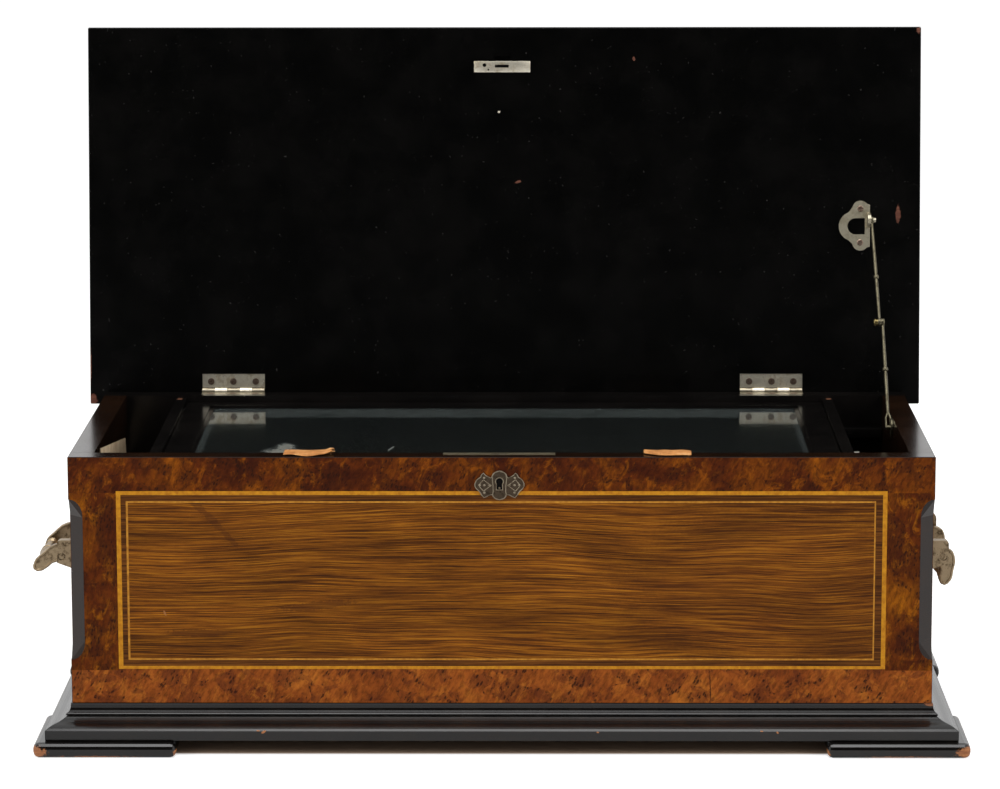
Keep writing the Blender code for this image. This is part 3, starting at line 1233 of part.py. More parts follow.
def make_governor_frame():
    left = SCREW_X - FRAME_THICK
    right = FRAME_WEB_X + FRAME_THICK
    foot = BED_TOP + GAP
    low_arm = SCREW_LOW - GAP * 5
    high_arm = SCREW_HIGH - GAP * 5
    outline = [(left, foot), (right + FRAME_THICK, foot), (right + FRAME_THICK, foot + FRAME_THICK)]
    outline += [(right, foot + FRAME_THICK), (right, high_arm + FRAME_THICK), (left, high_arm + FRAME_THICK)]
    outline += [(left, high_arm), (FRAME_WEB_X, high_arm), (FRAME_WEB_X, low_arm + FRAME_THICK)]
    outline += [(left, low_arm + FRAME_THICK), (left, low_arm), (FRAME_WEB_X, low_arm)]
    outline += [(FRAME_WEB_X, foot + FRAME_THICK), (left, foot + FRAME_THICK)]
    frame = add_part("governor_frame", prism("Y", outline, FRAME_FRONT, FRAME_BACK), MATERIALS["brass"])
    hole = SCREW_ARBOR + RUNNING_FIT
    cut(frame, rod("Z", (SCREW_X, SCREW_Y, SCREW_LOW - GAP), hole, FRAME_THICK, 16))
    over = SCREW_HIGH + GAP - high_arm + OVERRUN
    cut(frame, rod("Z", (SCREW_X, SCREW_Y, high_arm - OVERRUN), hole, over, 16))
    start = (FRAME_WEB_X - OVERRUN, GOVERNOR_Y, SHAFT_Z)
    cut(frame, rod("X", start, GOVERNOR_ARBOR + RUNNING_FIT, FRAME_THICK + 2 * OVERRUN))


def make_controls():
    for name, y in zip(("start_lever", "change_lever"), CONTROL_YS):
        xs = (CONTROL_X, CONTROL_X + CONTROL_THICK)
        low = (xs[0], y - CONTROL_THICK, CONTROL_Z)
        high = (xs[1], y + CONTROL_THICK, CONTROL_Z + CONTROL_LENGTH)
        lever = add_part(name, block(low, high), MATERIALS["steel"], origin=(0, y, CONTROL_Z))
        stub = PARTITION_INNER_X + PARTITION / 2 + OVERRUN / 2
        join(lever, rod("X", (xs[0], y, CONTROL_Z), CONTROL_HUB, CONTROL_THICK))
        tip = (xs[0] - GAP, y, CONTROL_Z + CONTROL_LENGTH)
        join(lever, rod("X", tip, CONTROL_KNOB, CONTROL_THICK + 2 * GAP))
        join(lever, rod("X", (stub, y, CONTROL_Z), CONTROL_PIN, xs[0] + GAP - stub, 20))


make_front_wall()
make_walls()
make_bottom()
make_partitions()
make_plinth()
make_feet()
make_escutcheon()
make_lock()
make_lid()
make_catch()
make_hinges()
make_stay()
make_stay_lid_bracket()
make_glass_lid()
make_handles()
make_bed()
make_comb()
make_cylinder()
make_bearings()
make_barrel()
make_winding()
make_click()
make_governor()
make_governor_frame()
make_controls()
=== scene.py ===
# A cylinder music box with its lid open: veneered case, black lid and plinth,
# glass inner lid, stay, bail handles and the movement under the glass.
import json
import math
import random

import bmesh
import bpy
from mathutils import Matrix, Vector


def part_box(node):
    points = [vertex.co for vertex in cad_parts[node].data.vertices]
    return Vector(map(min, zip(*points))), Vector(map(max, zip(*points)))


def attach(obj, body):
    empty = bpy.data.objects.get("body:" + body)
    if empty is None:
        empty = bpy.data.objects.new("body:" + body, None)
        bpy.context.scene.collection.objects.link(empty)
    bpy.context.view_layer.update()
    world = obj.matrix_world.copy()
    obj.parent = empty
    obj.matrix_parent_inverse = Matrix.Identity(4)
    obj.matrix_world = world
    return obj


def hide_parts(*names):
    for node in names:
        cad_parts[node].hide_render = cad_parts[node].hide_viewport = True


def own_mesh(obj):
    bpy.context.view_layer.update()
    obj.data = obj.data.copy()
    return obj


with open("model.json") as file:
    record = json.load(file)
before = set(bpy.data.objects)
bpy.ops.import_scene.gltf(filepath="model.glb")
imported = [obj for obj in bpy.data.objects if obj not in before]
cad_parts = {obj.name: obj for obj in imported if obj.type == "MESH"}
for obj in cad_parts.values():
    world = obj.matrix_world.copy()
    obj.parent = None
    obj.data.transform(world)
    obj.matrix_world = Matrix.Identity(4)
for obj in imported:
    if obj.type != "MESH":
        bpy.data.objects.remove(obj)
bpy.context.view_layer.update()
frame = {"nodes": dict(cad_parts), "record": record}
nodes = frame["nodes"]
mm = 0.001
weldGap = 0.002 * mm  # points nearer than this are one point
finishes = {}  # the materials, by the name of their finish

# places are given in millimetres from the middle of the case, at the level of the feet
wallLow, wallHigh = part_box("front_wall")
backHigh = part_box("back_wall")[1]
pinLow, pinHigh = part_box("hinge_pin_left")
middle = Vector(((wallLow.x + wallHigh.x) / 2, (wallLow.y + backHigh.y) / 2, 0))
caseSize = {
    "halfWidth": (wallHigh.x - wallLow.x) / 2 / mm,
    "halfDepth": (backHigh.y - wallLow.y) / 2 / mm,
    "rim": wallHigh.z / mm,
    "pinY": ((pinLow.y + pinHigh.y) / 2 - middle.y) / mm,
    "openAngle": 96.5,
}
lidTurn = math.radians(caseSize["openAngle"])


def at(x, y, z):
    return middle + Vector((x, y, z)) * mm


print("frame loaded, case", round(caseSize["halfWidth"] * 2), "x", round(caseSize["halfDepth"] * 2))


# small helpers for modelling
def deselect():
    if bpy.context.object and bpy.context.object.mode == "EDIT":
        bpy.ops.object.mode_set(mode="OBJECT")
    bpy.ops.object.select_all(action="DESELECT")


def takeNew(name):
    obj = bpy.context.object
    obj.name = name
    obj.data.name = name
    return obj


def choose(obj):
    deselect()
    obj.select_set(True)
    bpy.context.view_layer.objects.active = obj


def settle(obj):
    choose(obj)
    bpy.ops.object.transform_apply(location=True, rotation=True, scale=True)


def applyAll(obj):
    choose(obj)
    for modifier in list(obj.modifiers):
        bpy.ops.object.modifier_apply(modifier=modifier.name)


def pickFaces(obj, test):
    choose(obj)
    bpy.ops.object.mode_set(mode="EDIT")
    bpy.ops.mesh.select_mode(type="FACE")
    bpy.ops.mesh.select_all(action="DESELECT")
    bpy.ops.object.mode_set(mode="OBJECT")
    for face in obj.data.polygons:
        face.select = bool(test(face))
    bpy.ops.object.mode_set(mode="EDIT")


def leaveEdit():
    bpy.ops.object.mode_set(mode="OBJECT")


def editAll(obj):
    choose(obj)
    bpy.ops.object.mode_set(mode="EDIT")
    bpy.ops.mesh.select_all(action="SELECT")


def addObject(name, data):
    made = bpy.data.objects.new(name, data)
    bpy.context.scene.collection.objects.link(made)
    return made


def finishPiece(obj, finish, body, smooth=30):
    choose(obj)
    obj.data.materials.clear()
    obj.data.materials.append(finishes[finish])
    bpy.ops.object.shade_smooth_by_angle(angle=math.radians(smooth))
    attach(obj, body)
    return obj


def slab(name, low, high, edge=0.0):
    # a block between two corners in case millimetres, its edges softened
    deselect()
    low, high = at(*low), at(*high)
    bpy.ops.mesh.primitive_cube_add(size=1, location=(low + high) / 2)
    obj = takeNew(name)
    obj.scale = high - low
    settle(obj)
    if edge:
        editAll(obj)
        bpy.ops.mesh.bevel(offset=edge * mm, segments=2, affect="EDGES")
        leaveEdit()
    return obj


def tidyNormals(obj):
    editAll(obj)
    bpy.ops.mesh.remove_doubles(threshold=weldGap)
    bpy.ops.mesh.dissolve_degenerate(threshold=weldGap)
    bpy.ops.mesh.delete_loose()
    bpy.ops.mesh.select_all(action="SELECT")
    bpy.ops.mesh.normals_make_consistent(inside=False)
    leaveEdit()


def joinPieces(pieces, name):
    choose(pieces[0])
    for piece in pieces[1:]:
        piece.select_set(True)
    if len(pieces) > 1:
        bpy.ops.object.join()
    return takeNew(name)


def outlined(name, points, fill):
    # a closed outline through points in metres, empty or filled
    deselect()
    bpy.ops.mesh.primitive_circle_add(vertices=len(points), fill_type=fill, location=(0, 0, 0))
    obj = takeNew(name)
    for vertex, point in zip(obj.data.vertices, points):
        vertex.co = point
    return obj


def pushed(name, points, push):
    # a flat piece through points, made thick by a vector, both in metres
    obj = outlined(name, points, "NGON")
    editAll(obj)
    bpy.ops.mesh.extrude_region_move(TRANSFORM_OT_translate={"value": push})
    bpy.ops.mesh.select_all(action="SELECT")
    bpy.ops.mesh.normals_make_consistent(inside=False)
    leaveEdit()
    return obj


def plate(name, outline, depth):
    # a flat piece from its outline of points, pushed by a vector, all in case millimetres
    return pushed(name, [at(*point) for point in outline], Vector(depth) * mm)


# pieces of the lid are modelled on the shut lid, then opened with it
def openWithLid(obj):
    pin = at(0, caseSize["pinY"], caseSize["rim"])
    turn = Matrix.Rotation(-lidTurn, 4, "X")
    obj.data.transform(Matrix.Translation(pin) @ turn @ Matrix.Translation(-pin))
    return obj


def onLid(x, reach, inward=0.0):
    # a place on the open lid's inner face in case millimetres: reach up from the pin, inward off the face
    y = caseSize["pinY"] - reach * math.cos(lidTurn) - inward * math.sin(lidTurn)
    return (x, y, caseSize["rim"] + reach * math.sin(lidTurn) - inward * math.cos(lidTurn))


lidFacing = (0, -math.sin(lidTurn), -math.cos(lidTurn))


def spun(name, profile, steps=24):
    # a turned piece about its own Z, from an outline of (out, up) in millimetres, at the world's origin
    obj = outlined(name, [Vector((out, 0, up)) * mm for out, up in profile], "NOTHING")
    modifier = obj.modifiers.new("turn", "SCREW")
    modifier.axis = "Z"
    modifier.steps = steps
    modifier.render_steps = steps
    modifier.use_merge_vertices = True
    modifier.merge_threshold = weldGap
    applyAll(obj)
    tidyNormals(obj)
    return obj


def aim(place, facing, turn=0):
    # the matrix that stands a piece modelled about Z at a place in case millimetres, facing a direction
    stand = Vector(facing).to_track_quat("Z", "Y").to_matrix().to_4x4()
    return Matrix.Translation(at(*place)) @ stand @ Matrix.Rotation(math.radians(turn), 4, "Z")


def repeat(base, name, matrices):
    # copies of a small piece, each with its own mesh, joined into one
    copies = []
    for matrix in matrices:
        mesh = base.data.copy()
        mesh.transform(matrix)
        copies.append(addObject(name, mesh))
    return joinPieces(copies, name)


def discard(*pieces):
    deselect()
    for piece in pieces:
        piece.select_set(True)
    bpy.ops.object.delete()


def wire(name, points, radius, sides=2):
    # a thin bent bar along points in case millimetres
    curve = bpy.data.curves.new(name, "CURVE")
    curve.dimensions = "3D"
    curve.bevel_depth = radius * mm
    curve.bevel_resolution = sides
    curve.use_fill_caps = True
    spline = curve.splines.new("POLY")
    spline.points.add(len(points) - 1)
    for point, place in zip(spline.points, points):
        point.co = (*at(*place), 1)
    obj = addObject(name, curve)
    choose(obj)
    bpy.ops.object.convert(target="MESH")
    return takeNew(name)


def cutOut(obj, tools):
    for tool in tools:
        modifier = obj.modifiers.new("cut", "BOOLEAN")
        modifier.operation = "DIFFERENCE"
        modifier.solver = "EXACT"
        modifier.object = tool
    applyAll(obj)
    discard(*tools)
    return obj


# small helpers for materials
def newMaterial(name):
    made = bpy.data.materials.new(name)
    made.use_nodes = True
    return made, made.node_tree, made.node_tree.nodes["Principled BSDF"]


def plug(tree, value, socket):
    # links another node's output, or sets the value
    if isinstance(value, bpy.types.NodeSocket):
        tree.links.new(value, socket)
    else:
        socket.default_value = (*value, 1) if socket.type == "RGBA" else value


def addNode(tree, kind, sockets, output, **settings):
    # a node with its settings made and its sockets plugged; gives one of its outputs
    node = tree.nodes.new("ShaderNode" + kind)
    for setting, value in settings.items():
        setattr(node, setting, value)
    for socket, value in sockets.items():
        plug(tree, value, node.inputs[socket])
    return node.outputs[output]


def placed(tree, scale=(1, 1, 1), turn=(0, 0, 0), centre=(0, 0, 0)):
    # object coordinates in case millimetres about a centre, turned, and then times the scale
    sockets = {
        "Vector": addNode(tree, "TexCoord", {}, "Object"),
        "Location": middle + Vector(centre) * mm,
        "Rotation": [math.radians(angle) for angle in turn],
        "Scale": [mm / share for share in scale],
    }
    return addNode(tree, "Mapping", sockets, "Vector", vector_type="TEXTURE")


def vectors(tree, operation, first, second):
    return addNode(tree, "VectorMath", {0: first, 1: second}, "Vector", operation=operation)


def bent(tree, flat, scale, amount):
    # millimetre coordinates whose lines along the grain wander up and down
    lift = noise(tree, vectors(tree, "MULTIPLY", flat, scale), 1.0, 2, 0.5)
    lift = times(tree, sums(tree, "SUBTRACT", lift, 0.5), amount)
    return vectors(tree, "ADD", flat, addNode(tree, "CombineXYZ", {"Z": lift}, "Vector"))


def noise(tree, vector, scale, detail=4, roughness=0.55, distortion=0.0):
    sockets = {"Vector": vector, "Scale": scale, "Detail": detail, "Roughness": roughness}
    return addNode(tree, "TexNoise", {**sockets, "Distortion": distortion}, "Fac")


def cells(tree, vector, scale):
    return addNode(tree, "TexVoronoi", {"Vector": vector, "Scale": scale}, "Distance")


def ramp(tree, value, stops):
    node = tree.nodes.new("ShaderNodeValToRGB")
    while len(node.color_ramp.elements) < len(stops):
        node.color_ramp.elements.new(0.5)
    for element, (place, colour) in zip(node.color_ramp.elements, stops):
        element.position = place
        element.color = (*colour, 1)
    tree.links.new(value, node.inputs["Fac"])
    return node.outputs["Color"]


def grey(value):
    return (value, value, value)


def alongAxis(tree, axis):
    # millimetres along one of the case's axes
    return addNode(tree, "SeparateXYZ", {0: placed(tree)}, axis)


def mask(tree, value, low, high):
    # 0 below low and 1 above high
    sockets = {"Value": value, "From Min": low, "From Max": high}
    return addNode(tree, "MapRange", sockets, "Result", interpolation_type="SMOOTHSTEP")


def remap(tree, value, low, high):
    return addNode(tree, "MapRange", {"Value": value, "To Min": low, "To Max": high}, "Result")


def sums(tree, operation, first, second):
    return addNode(tree, "Math", {0: first, 1: second}, "Value", operation=operation)


def times(tree, first, second):
    return sums(tree, "MULTIPLY", first, second)


def rest(tree, value):
    # what is left of 1
    return sums(tree, "SUBTRACT", 1.0, value)


def mixed(tree, factor, first, second, blend="MIX"):
    # sockets 0, 6 and 7 and output 2 are the ones for colours
    return addNode(tree, "Mix", {0: factor, 6: first, 7: second}, 2, data_type="RGBA", blend_type=blend)


def bumped(tree, shader, height, strength, distance=0.1):
    sockets = {"Height": height, "Strength": strength, "Distance": distance * mm}
    plug(tree, addNode(tree, "Bump", sockets, "Normal"), shader.inputs["Normal"])


def dress(tree, shader, colour, rough, specular=0.5):
    plug(tree, colour, shader.inputs["Base Color"])
    plug(tree, rough, shader.inputs["Roughness"])
    plug(tree, specular, shader.inputs["Specular IOR Level"])


def tinted(tree, colour, where, strength, tint):
    # the colour with a tint over it, where and as strongly as told
    return mixed(tree, times(tree, where, strength), colour, tint)


def spots(tree, patches, ragged=1.4, soft=0.35):
    # worn patches about places in case millimetres, given as (centre, size) or (centre, size, turn):
    # 1 inside, 0 outside
    edge = times(tree, sums(tree, "SUBTRACT", noise(tree, placed(tree), 0.45, 3, 0.6), 0.5), ragged)
    total = 0.0
    for centre, size, *turn in patches:
        turn = turn[0] if turn else (0, 0, 0)
        near = placed(tree, [1 / part for part in size], turn, centre)
        apart = addNode(tree, "VectorMath", {0: near}, "Value", operation="LENGTH")
        inside = mask(tree, rest(tree, sums(tree, "ADD", apart, edge)), 0, soft)
        total = sums(tree, "MAXIMUM", total, inside)
    return total


def marked(tree, colour, marks):
    # marks are (patches, colour, strength)
    for patches, tint, strength in marks:
        colour = tinted(tree, colour, spots(tree, patches), strength, tint)
    return colour


# finishes
def blackPolish(name, look, wears=()):
    # black polish over wood: smudged gloss, fine dust specks, and worn patches where the wood shows
    made, tree, shader = newMaterial(name)
    cloud = noise(tree, placed(tree), 0.03, 5, 0.6)
    base = mixed(tree, mask(tree, cloud, 0.35, 0.7), look["dark"], look["light"])
    fine = noise(tree, placed(tree), look["dustScale"], 2, 0.5)
    dust = mask(tree, fine, look["dustAt"], look["dustAt"] + 0.04)
    base = tinted(tree, base, dust, look["dust"], look["dustColour"])
    rough = remap(tree, cloud, *look["gloss"])
    if wears:
        worn = spots(tree, wears)
        grain = noise(tree, placed(tree, (0.05, 0.05, 0.6)), 1.0, 4)
        wood = ramp(tree, grain, [(0.3, look["wornDark"]), (0.7, look["wornLight"])])
        base = mixed(tree, worn, base, wood)
        rough = sums(tree, "MAXIMUM", rough, times(tree, worn, 0.55))
    dress(tree, shader, base, rough, look["specular"])
    bumped(tree, shader, noise(tree, placed(tree), 0.25, 3), look["ripple"], 0.2)
    return made


def agedMetal(name, look):
    # metal with tarnish in patches, small pits and a slight relief
    made, tree, shader = newMaterial(name)
    patch = noise(tree, placed(tree), look["patch"], 5, 0.65)
    tarnish = mask(tree, patch, look["tarnishAt"], look["tarnishAt"] + 0.2)
    base = mixed(tree, tarnish, look["clean"], look["tarnish"])
    pits = mask(tree, cells(tree, placed(tree), look["pits"]), 0.0, 0.25)
    base = tinted(tree, base, rest(tree, pits), 0.5, look["deep"])
    dress(tree, shader, base, remap(tree, patch, *look["gloss"]))
    shader.inputs["Metallic"].default_value = look["metal"]
    bumped(tree, shader, noise(tree, placed(tree), look["patch"] * 3, 3), look["relief"])
    return made


def plainWood(name, look):
    made, tree, shader = newMaterial(name)
    grain = noise(tree, placed(tree, look["stretch"]), 1.0, 6, 0.6, 0.4)
    colour = ramp(tree, grain, [(0.3, look["dark"]), (0.7, look["light"])])
    dress(tree, shader, colour, remap(tree, grain, 0.5, 0.75))
    bumped(tree, shader, grain, 0.3, 0.3)
    return made


def tannedLeather(name, look):
    # worn leather: pale creases, darker handled patches and a fine pebbled grain
    made, tree, shader = newMaterial(name)
    patch = noise(tree, placed(tree), 0.12, 4, 0.6, 0.5)
    colour = ramp(tree, patch, [(0.3, look["dark"]), (0.55, look["light"]), (0.75, look["pale"])])
    crease = mask(tree, noise(tree, placed(tree, (1.0, 0.25, 1.0)), 0.8, 3, 0.6, 0.8), 0.56, 0.66)
    colour = tinted(tree, colour, crease, 0.5, look["crease"])
    dress(tree, shader, colour, remap(tree, patch, 0.6, 0.8), specular=0.25)
    bumped(tree, shader, cells(tree, placed(tree), 1.6), 0.35, 0.2)
    return made


def oldPaper(name, look):
    # blank cream paper with brown foxing and faint fibres
    made, tree, shader = newMaterial(name)
    patch = noise(tree, placed(tree), 0.06, 5, 0.65)
    colour = ramp(tree, patch, [(0.35, look["pale"]), (0.7, look["brown"])])
    fibre = noise(tree, placed(tree), 1.4, 3, 0.6)
    colour = tinted(tree, colour, mask(tree, fibre, 0.5, 0.7), 0.12, look["brown"])
    dress(tree, shader, colour, remap(tree, patch, 0.8, 0.9), specular=0.2)
    bumped(tree, shader, fibre, 0.15)
    return made


def rosewood(name, look):
    # streaked veneer: thin dark and golden lines along the grain, which bends a little
    made, tree, shader = newMaterial(name)
    flat = bent(tree, placed(tree), look["bend"], look["bendBy"])
    streak = noise(tree, vectors(tree, "MULTIPLY", flat, look["stretch"]), 1.0, 6, 0.72, 0.15)
    hair = noise(tree, vectors(tree, "MULTIPLY", flat, look["hairStretch"]), 1.0, 3, 0.6)
    broad = noise(tree, vectors(tree, "MULTIPLY", flat, look["broad"]), 1.0, 3, 0.5, 0.4)
    stops = [(0.38, look["dark"]), (0.47, look["mid"]), (0.55, look["gold"]), (0.65, look["bright"])]
    colour = ramp(tree, streak, stops)
    tone = ramp(tree, broad, [(0.32, grey(look["shade"])), (0.66, grey(1.0))])
    colour = mixed(tree, 1.0, colour, tone, "MULTIPLY")
    pores = mask(tree, hair, look["poreAt"], look["poreAt"] + 0.1)
    colour = tinted(tree, colour, pores, look["pores"], look["deep"])
    colour = marked(tree, colour, look.get("marks", ()))
    dress(tree, shader, colour, remap(tree, broad, *look["gloss"]), look["specular"])
    bumped(tree, shader, hair, look["relief"])
    return made


def burr(name, look):
    # burr veneer: soft clouds of red and orange wood with clusters of short dark slanted eyes
    made, tree, shader = newMaterial(name)
    flat = placed(tree)
    cloud = noise(tree, flat, look["cloud"], 4, 0.55, 0.5)
    stops = [(0.3, look["dark"]), (0.45, look["mid"]), (0.6, look["light"]), (0.75, look["bright"])]
    colour = ramp(tree, cloud, stops)
    mottle = noise(tree, placed(tree, (1, 1, 0.55), look["slant"]), look["mottle"], 5, 0.75, 0.8)
    colour = tinted(tree, colour, mask(tree, mottle, 0.50, 0.66), 0.6, look["bright"])
    fine = noise(tree, placed(tree, (1, 1, 0.4), look["slant"]), 0.35, 4, 0.7)
    shade = ramp(tree, fine, [(0.36, grey(0.5)), (0.58, grey(1.0))])
    colour = mixed(tree, 1.0, colour, shade, "MULTIPLY")
    crowd = noise(tree, flat, look["cluster"], 3, 0.6, 0.8)
    cluster = mask(tree, crowd, look["clusterAt"], look["clusterAt"] + 0.07)
    colour = tinted(tree, colour, cluster, 0.45, look["haze"])
    dashes = cells(tree, placed(tree, (1.0, 1.0, 0.42), look["slant"]), look["eyes"])
    eyes = rest(tree, mask(tree, dashes, 0.24, 0.5))
    stray = mask(tree, noise(tree, flat, 0.3, 2), 0.42, 0.52)
    colour = tinted(tree, colour, times(tree, times(tree, eyes, cluster), stray), 0.85, look["eye"])
    colour = marked(tree, colour, look.get("marks", ()))
    dress(tree, shader, colour, remap(tree, cloud, *look["gloss"]), look["specular"])
    bumped(tree, shader, fine, 0.12)
    return made


def inlay(name, look):
    # thin inlaid lines of boxwood, with faint grain and darker dirt
    made, tree, shader = newMaterial(name)
    grain = noise(tree, placed(tree, (0.3, 1, 0.3)), 1.0, 4, 0.6)
    colour = ramp(tree, grain, [(0.3, look["dark"]), (0.65, look["light"])])
    dress(tree, shader, colour, remap(tree, grain, 0.3, 0.45), specular=0.15)
    bumped(tree, shader, grain, 0.1, 0.05)
    return made


def clearGlass(name, look):
    # old glass: a faint green body, dust and wipe marks, a milky smear, a faint film that is partly painted
    # sheen, and a painted highlight along the rear and side edges
    made, tree, shader = newMaterial(name)
    dust = noise(tree, placed(tree, (0.02, 0.05, 1)), 1.0, 5, 0.6, 0.5)
    smear = spots(tree, look["smears"], 1.3, 0.6)
    tint = mixed(tree, mask(tree, dust, 0.5, 0.8), look["clear"], look["dusty"])
    rough = sums(tree, "ADD", remap(tree, dust, *look["gloss"]), times(tree, smear, 0.3))
    dress(tree, shader, mixed(tree, smear, tint, look["milk"]), rough, look["specular"])
    # the smear's cloudiness, and a faint film over all the glass that is partly haze and partly painted sheen
    cloudy = sums(tree, "ADD", times(tree, smear, look["cloudy"]), look["film"])
    # painted highlight: a lighter, less clear band along the rear and side edges, standing in for light on
    # the frame's inner edges
    rear = mask(tree, alongAxis(tree, "Y"), *look["rear"])
    side = mask(tree, sums(tree, "ABSOLUTE", alongAxis(tree, "X"), 0), *look["side"])
    edge = times(tree, sums(tree, "MAXIMUM", rear, side), look["edge"])
    plug(tree, rest(tree, sums(tree, "ADD", cloudy, edge)), shader.inputs["Transmission Weight"])
    plug(tree, look["ior"], shader.inputs["IOR"])
    return made


polishLook = {
    "dark": (0.0035, 0.003, 0.0028),
    "light": (0.006, 0.005, 0.0045),
    "dust": 0.25,
    "dustScale": 0.9,
    "dustAt": 0.74,
    "dustColour": (0.08, 0.075, 0.07),
    "gloss": (0.12, 0.22),
    "wornDark": (0.20, 0.06, 0.02),
    "wornLight": (0.48, 0.19, 0.06),
    "specular": 0.5,
    "ripple": 0.02,
}
lidLook = {
    "dark": (0.0010, 0.0010, 0.0009),
    "light": (0.0022, 0.0020, 0.0018),
    "dust": 0.3,
    "dustScale": 0.5,
    "dustAt": 0.72,
    "gloss": (0.16, 0.26),
    "wornDark": (0.07, 0.02, 0.012),
    "wornLight": (0.16, 0.06, 0.035),
    "specular": 0.22,
}
wornPlaces = {
    # worn places as (centre, size) or (centre, size, turn)
    "lid": [
        (onLid(-316.5, -7.5), (4, 7, 7)),
        (onLid(-317.8, 22), (1, 4, 18)),
        (onLid(316.8, 276), (3, 3, 3.5)),
        (onLid(301.1, 135.6), (2.2, 4, 7)),
        (onLid(99.1, 254.0), (1.2, 2, 1.6)),
        (onLid(10.6, 160.3), (3, 2, 1.2), (0, -20, 0)),
    ],
    "feet": [],
    "plinth": [
        ((303.5, -131.5, 33.6), (4.5, 2, 1.6)),
        ((-168, -149, 17.6), (2.4, 1, 0.9), (0, -30, 0)),
        ((-172, -149, 18.4), (1.6, 1, 0.5)),
        ((68, -149, 17.4), (1.1, 1, 0.7)),
        ((184, -149, 18.2), (1.5, 1, 0.5)),
        ((195, -149, 17.2), (1.3, 1, 0.8), (0, 25, 0)),
    ],
    "inside": [((side * 247, 112, 210), (2.5, 4, 2)) for side in (-1, 1)],
    "none": [],
}
for side in (-1, 1):
    for back in (-1, 1):
        wornPlaces["feet"] += [
            ((side * 333, back * 158, 4), (13, 11, 6.5)),
            ((side * 230, back * 152, 3), (2.4, 9, 3.4)),
            ((side * 285, back * 157, 0.4), (42, 3, 1.6)),
        ]
polishes = {
    # the material's name, its worn places, and what differs from the polish
    "ebonised": ("blackPolish", "none", {}),
    "lidInside": ("blackPolishLidInside", "lid", lidLook),
    "lidEdges": ("blackPolishLidEdges", "lid", {**lidLook, "dark": (0.003, 0.0026, 0.0024)}),
    "feet": ("blackPolishFeet", "feet", {}),
    "plinth": ("blackPolishPlinth", "plinth", {"light": (0.008, 0.0062, 0.005)}),
    "inside": ("blackPolishInside", "inside",
               {"wornDark": (0.06, 0.02, 0.01), "wornLight": (0.16, 0.06, 0.025)}),
    "caseEdges": ("blackPolishCase", "none",
                  {"dark": (0.010, 0.0042, 0.002), "light": (0.017, 0.007, 0.003), "specular": 0.38}),
    # a matt black used as painted shade: it fills the keyhole, where the real hole is only shadow
    "dark": ("darkHollow", "none", {"specular": 0.05, "gloss": (0.6, 0.8)}),
}
for key, (name, where, differs) in polishes.items():
    finishes[key] = blackPolish(name, {**polishLook, **differs}, wornPlaces[where])

metalLook = {
    "deep": (0.06, 0.04, 0.03),
    "patch": 0.15,
    "tarnishAt": 0.48,
    "pits": 0.7,
    "metal": 1.0,
    "relief": 0.15,
}
metals = {
    # the material's name, clean and tarnished colour, gloss from and to, and what differs from the metal
    "brass": ("agedBrass", (0.50, 0.42, 0.28), (0.26, 0.20, 0.12), (0.25, 0.5), {}),
    "hingeBrass": ("hingeBrass", (0.95, 0.88, 0.72), (0.62, 0.53, 0.38), (0.3, 0.5), {}),
    "hingeDull": ("hingeDull", (0.36, 0.32, 0.24), (0.18, 0.15, 0.10), (0.3, 0.5), {}),
    "bracketBrass": ("bracketBrass", (0.58, 0.53, 0.40), (0.42, 0.37, 0.26), (0.35, 0.5), {}),
    # the escutcheon's ground: dark partly as patina and partly as painted shade for the sunk ground between
    # the raised rims
    "plateGround": ("plateGround", (0.085, 0.062, 0.042), (0.04, 0.028, 0.018), (0.25, 0.5),
                    {"patch": 0.4, "relief": 0.5}),
    "plateBronze": ("plateBronze", (0.30, 0.25, 0.18), (0.14, 0.11, 0.075), (0.3, 0.5), {"patch": 0.3}),
    "handle_metal": ("handleBronze", (0.37, 0.28, 0.175), (0.115, 0.08, 0.045), (0.28, 0.5),
                     {"deep": (0.03, 0.025, 0.02), "patch": 0.25, "pits": 0.8, "relief": 0.3}),
    "steel": ("wornSteel", (0.42, 0.40, 0.36), (0.22, 0.19, 0.16), (0.25, 0.45),
              {"patch": 0.3, "pits": 0.9, "relief": 0.1}),
    "stayMetal": ("stayMetal", (0.13, 0.115, 0.075), (0.07, 0.06, 0.038), (0.3, 0.45), {}),
    "stayBrass": ("stayBrass", (0.22, 0.17, 0.07), (0.12, 0.09, 0.04), (0.25, 0.4), {}),
    "screwSteel": ("screwSteel", (0.30, 0.22, 0.17), (0.16, 0.09, 0.06), (0.25, 0.5), {"patch": 0.5}),
    "cast_iron": ("paintedIron", (0.07, 0.065, 0.06), (0.035, 0.03, 0.028), (0.4, 0.6),
                  {"deep": (0.015, 0.012, 0.01), "patch": 0.08, "pits": 0.35, "metal": 0.3, "relief": 0.4}),
}
for key, (name, clean, tarnish, gloss, differs) in metals.items():
    look = {**metalLook, "clean": clean, "tarnish": tarnish, "gloss": gloss, **differs}
    finishes[key] = agedMetal(name, look)

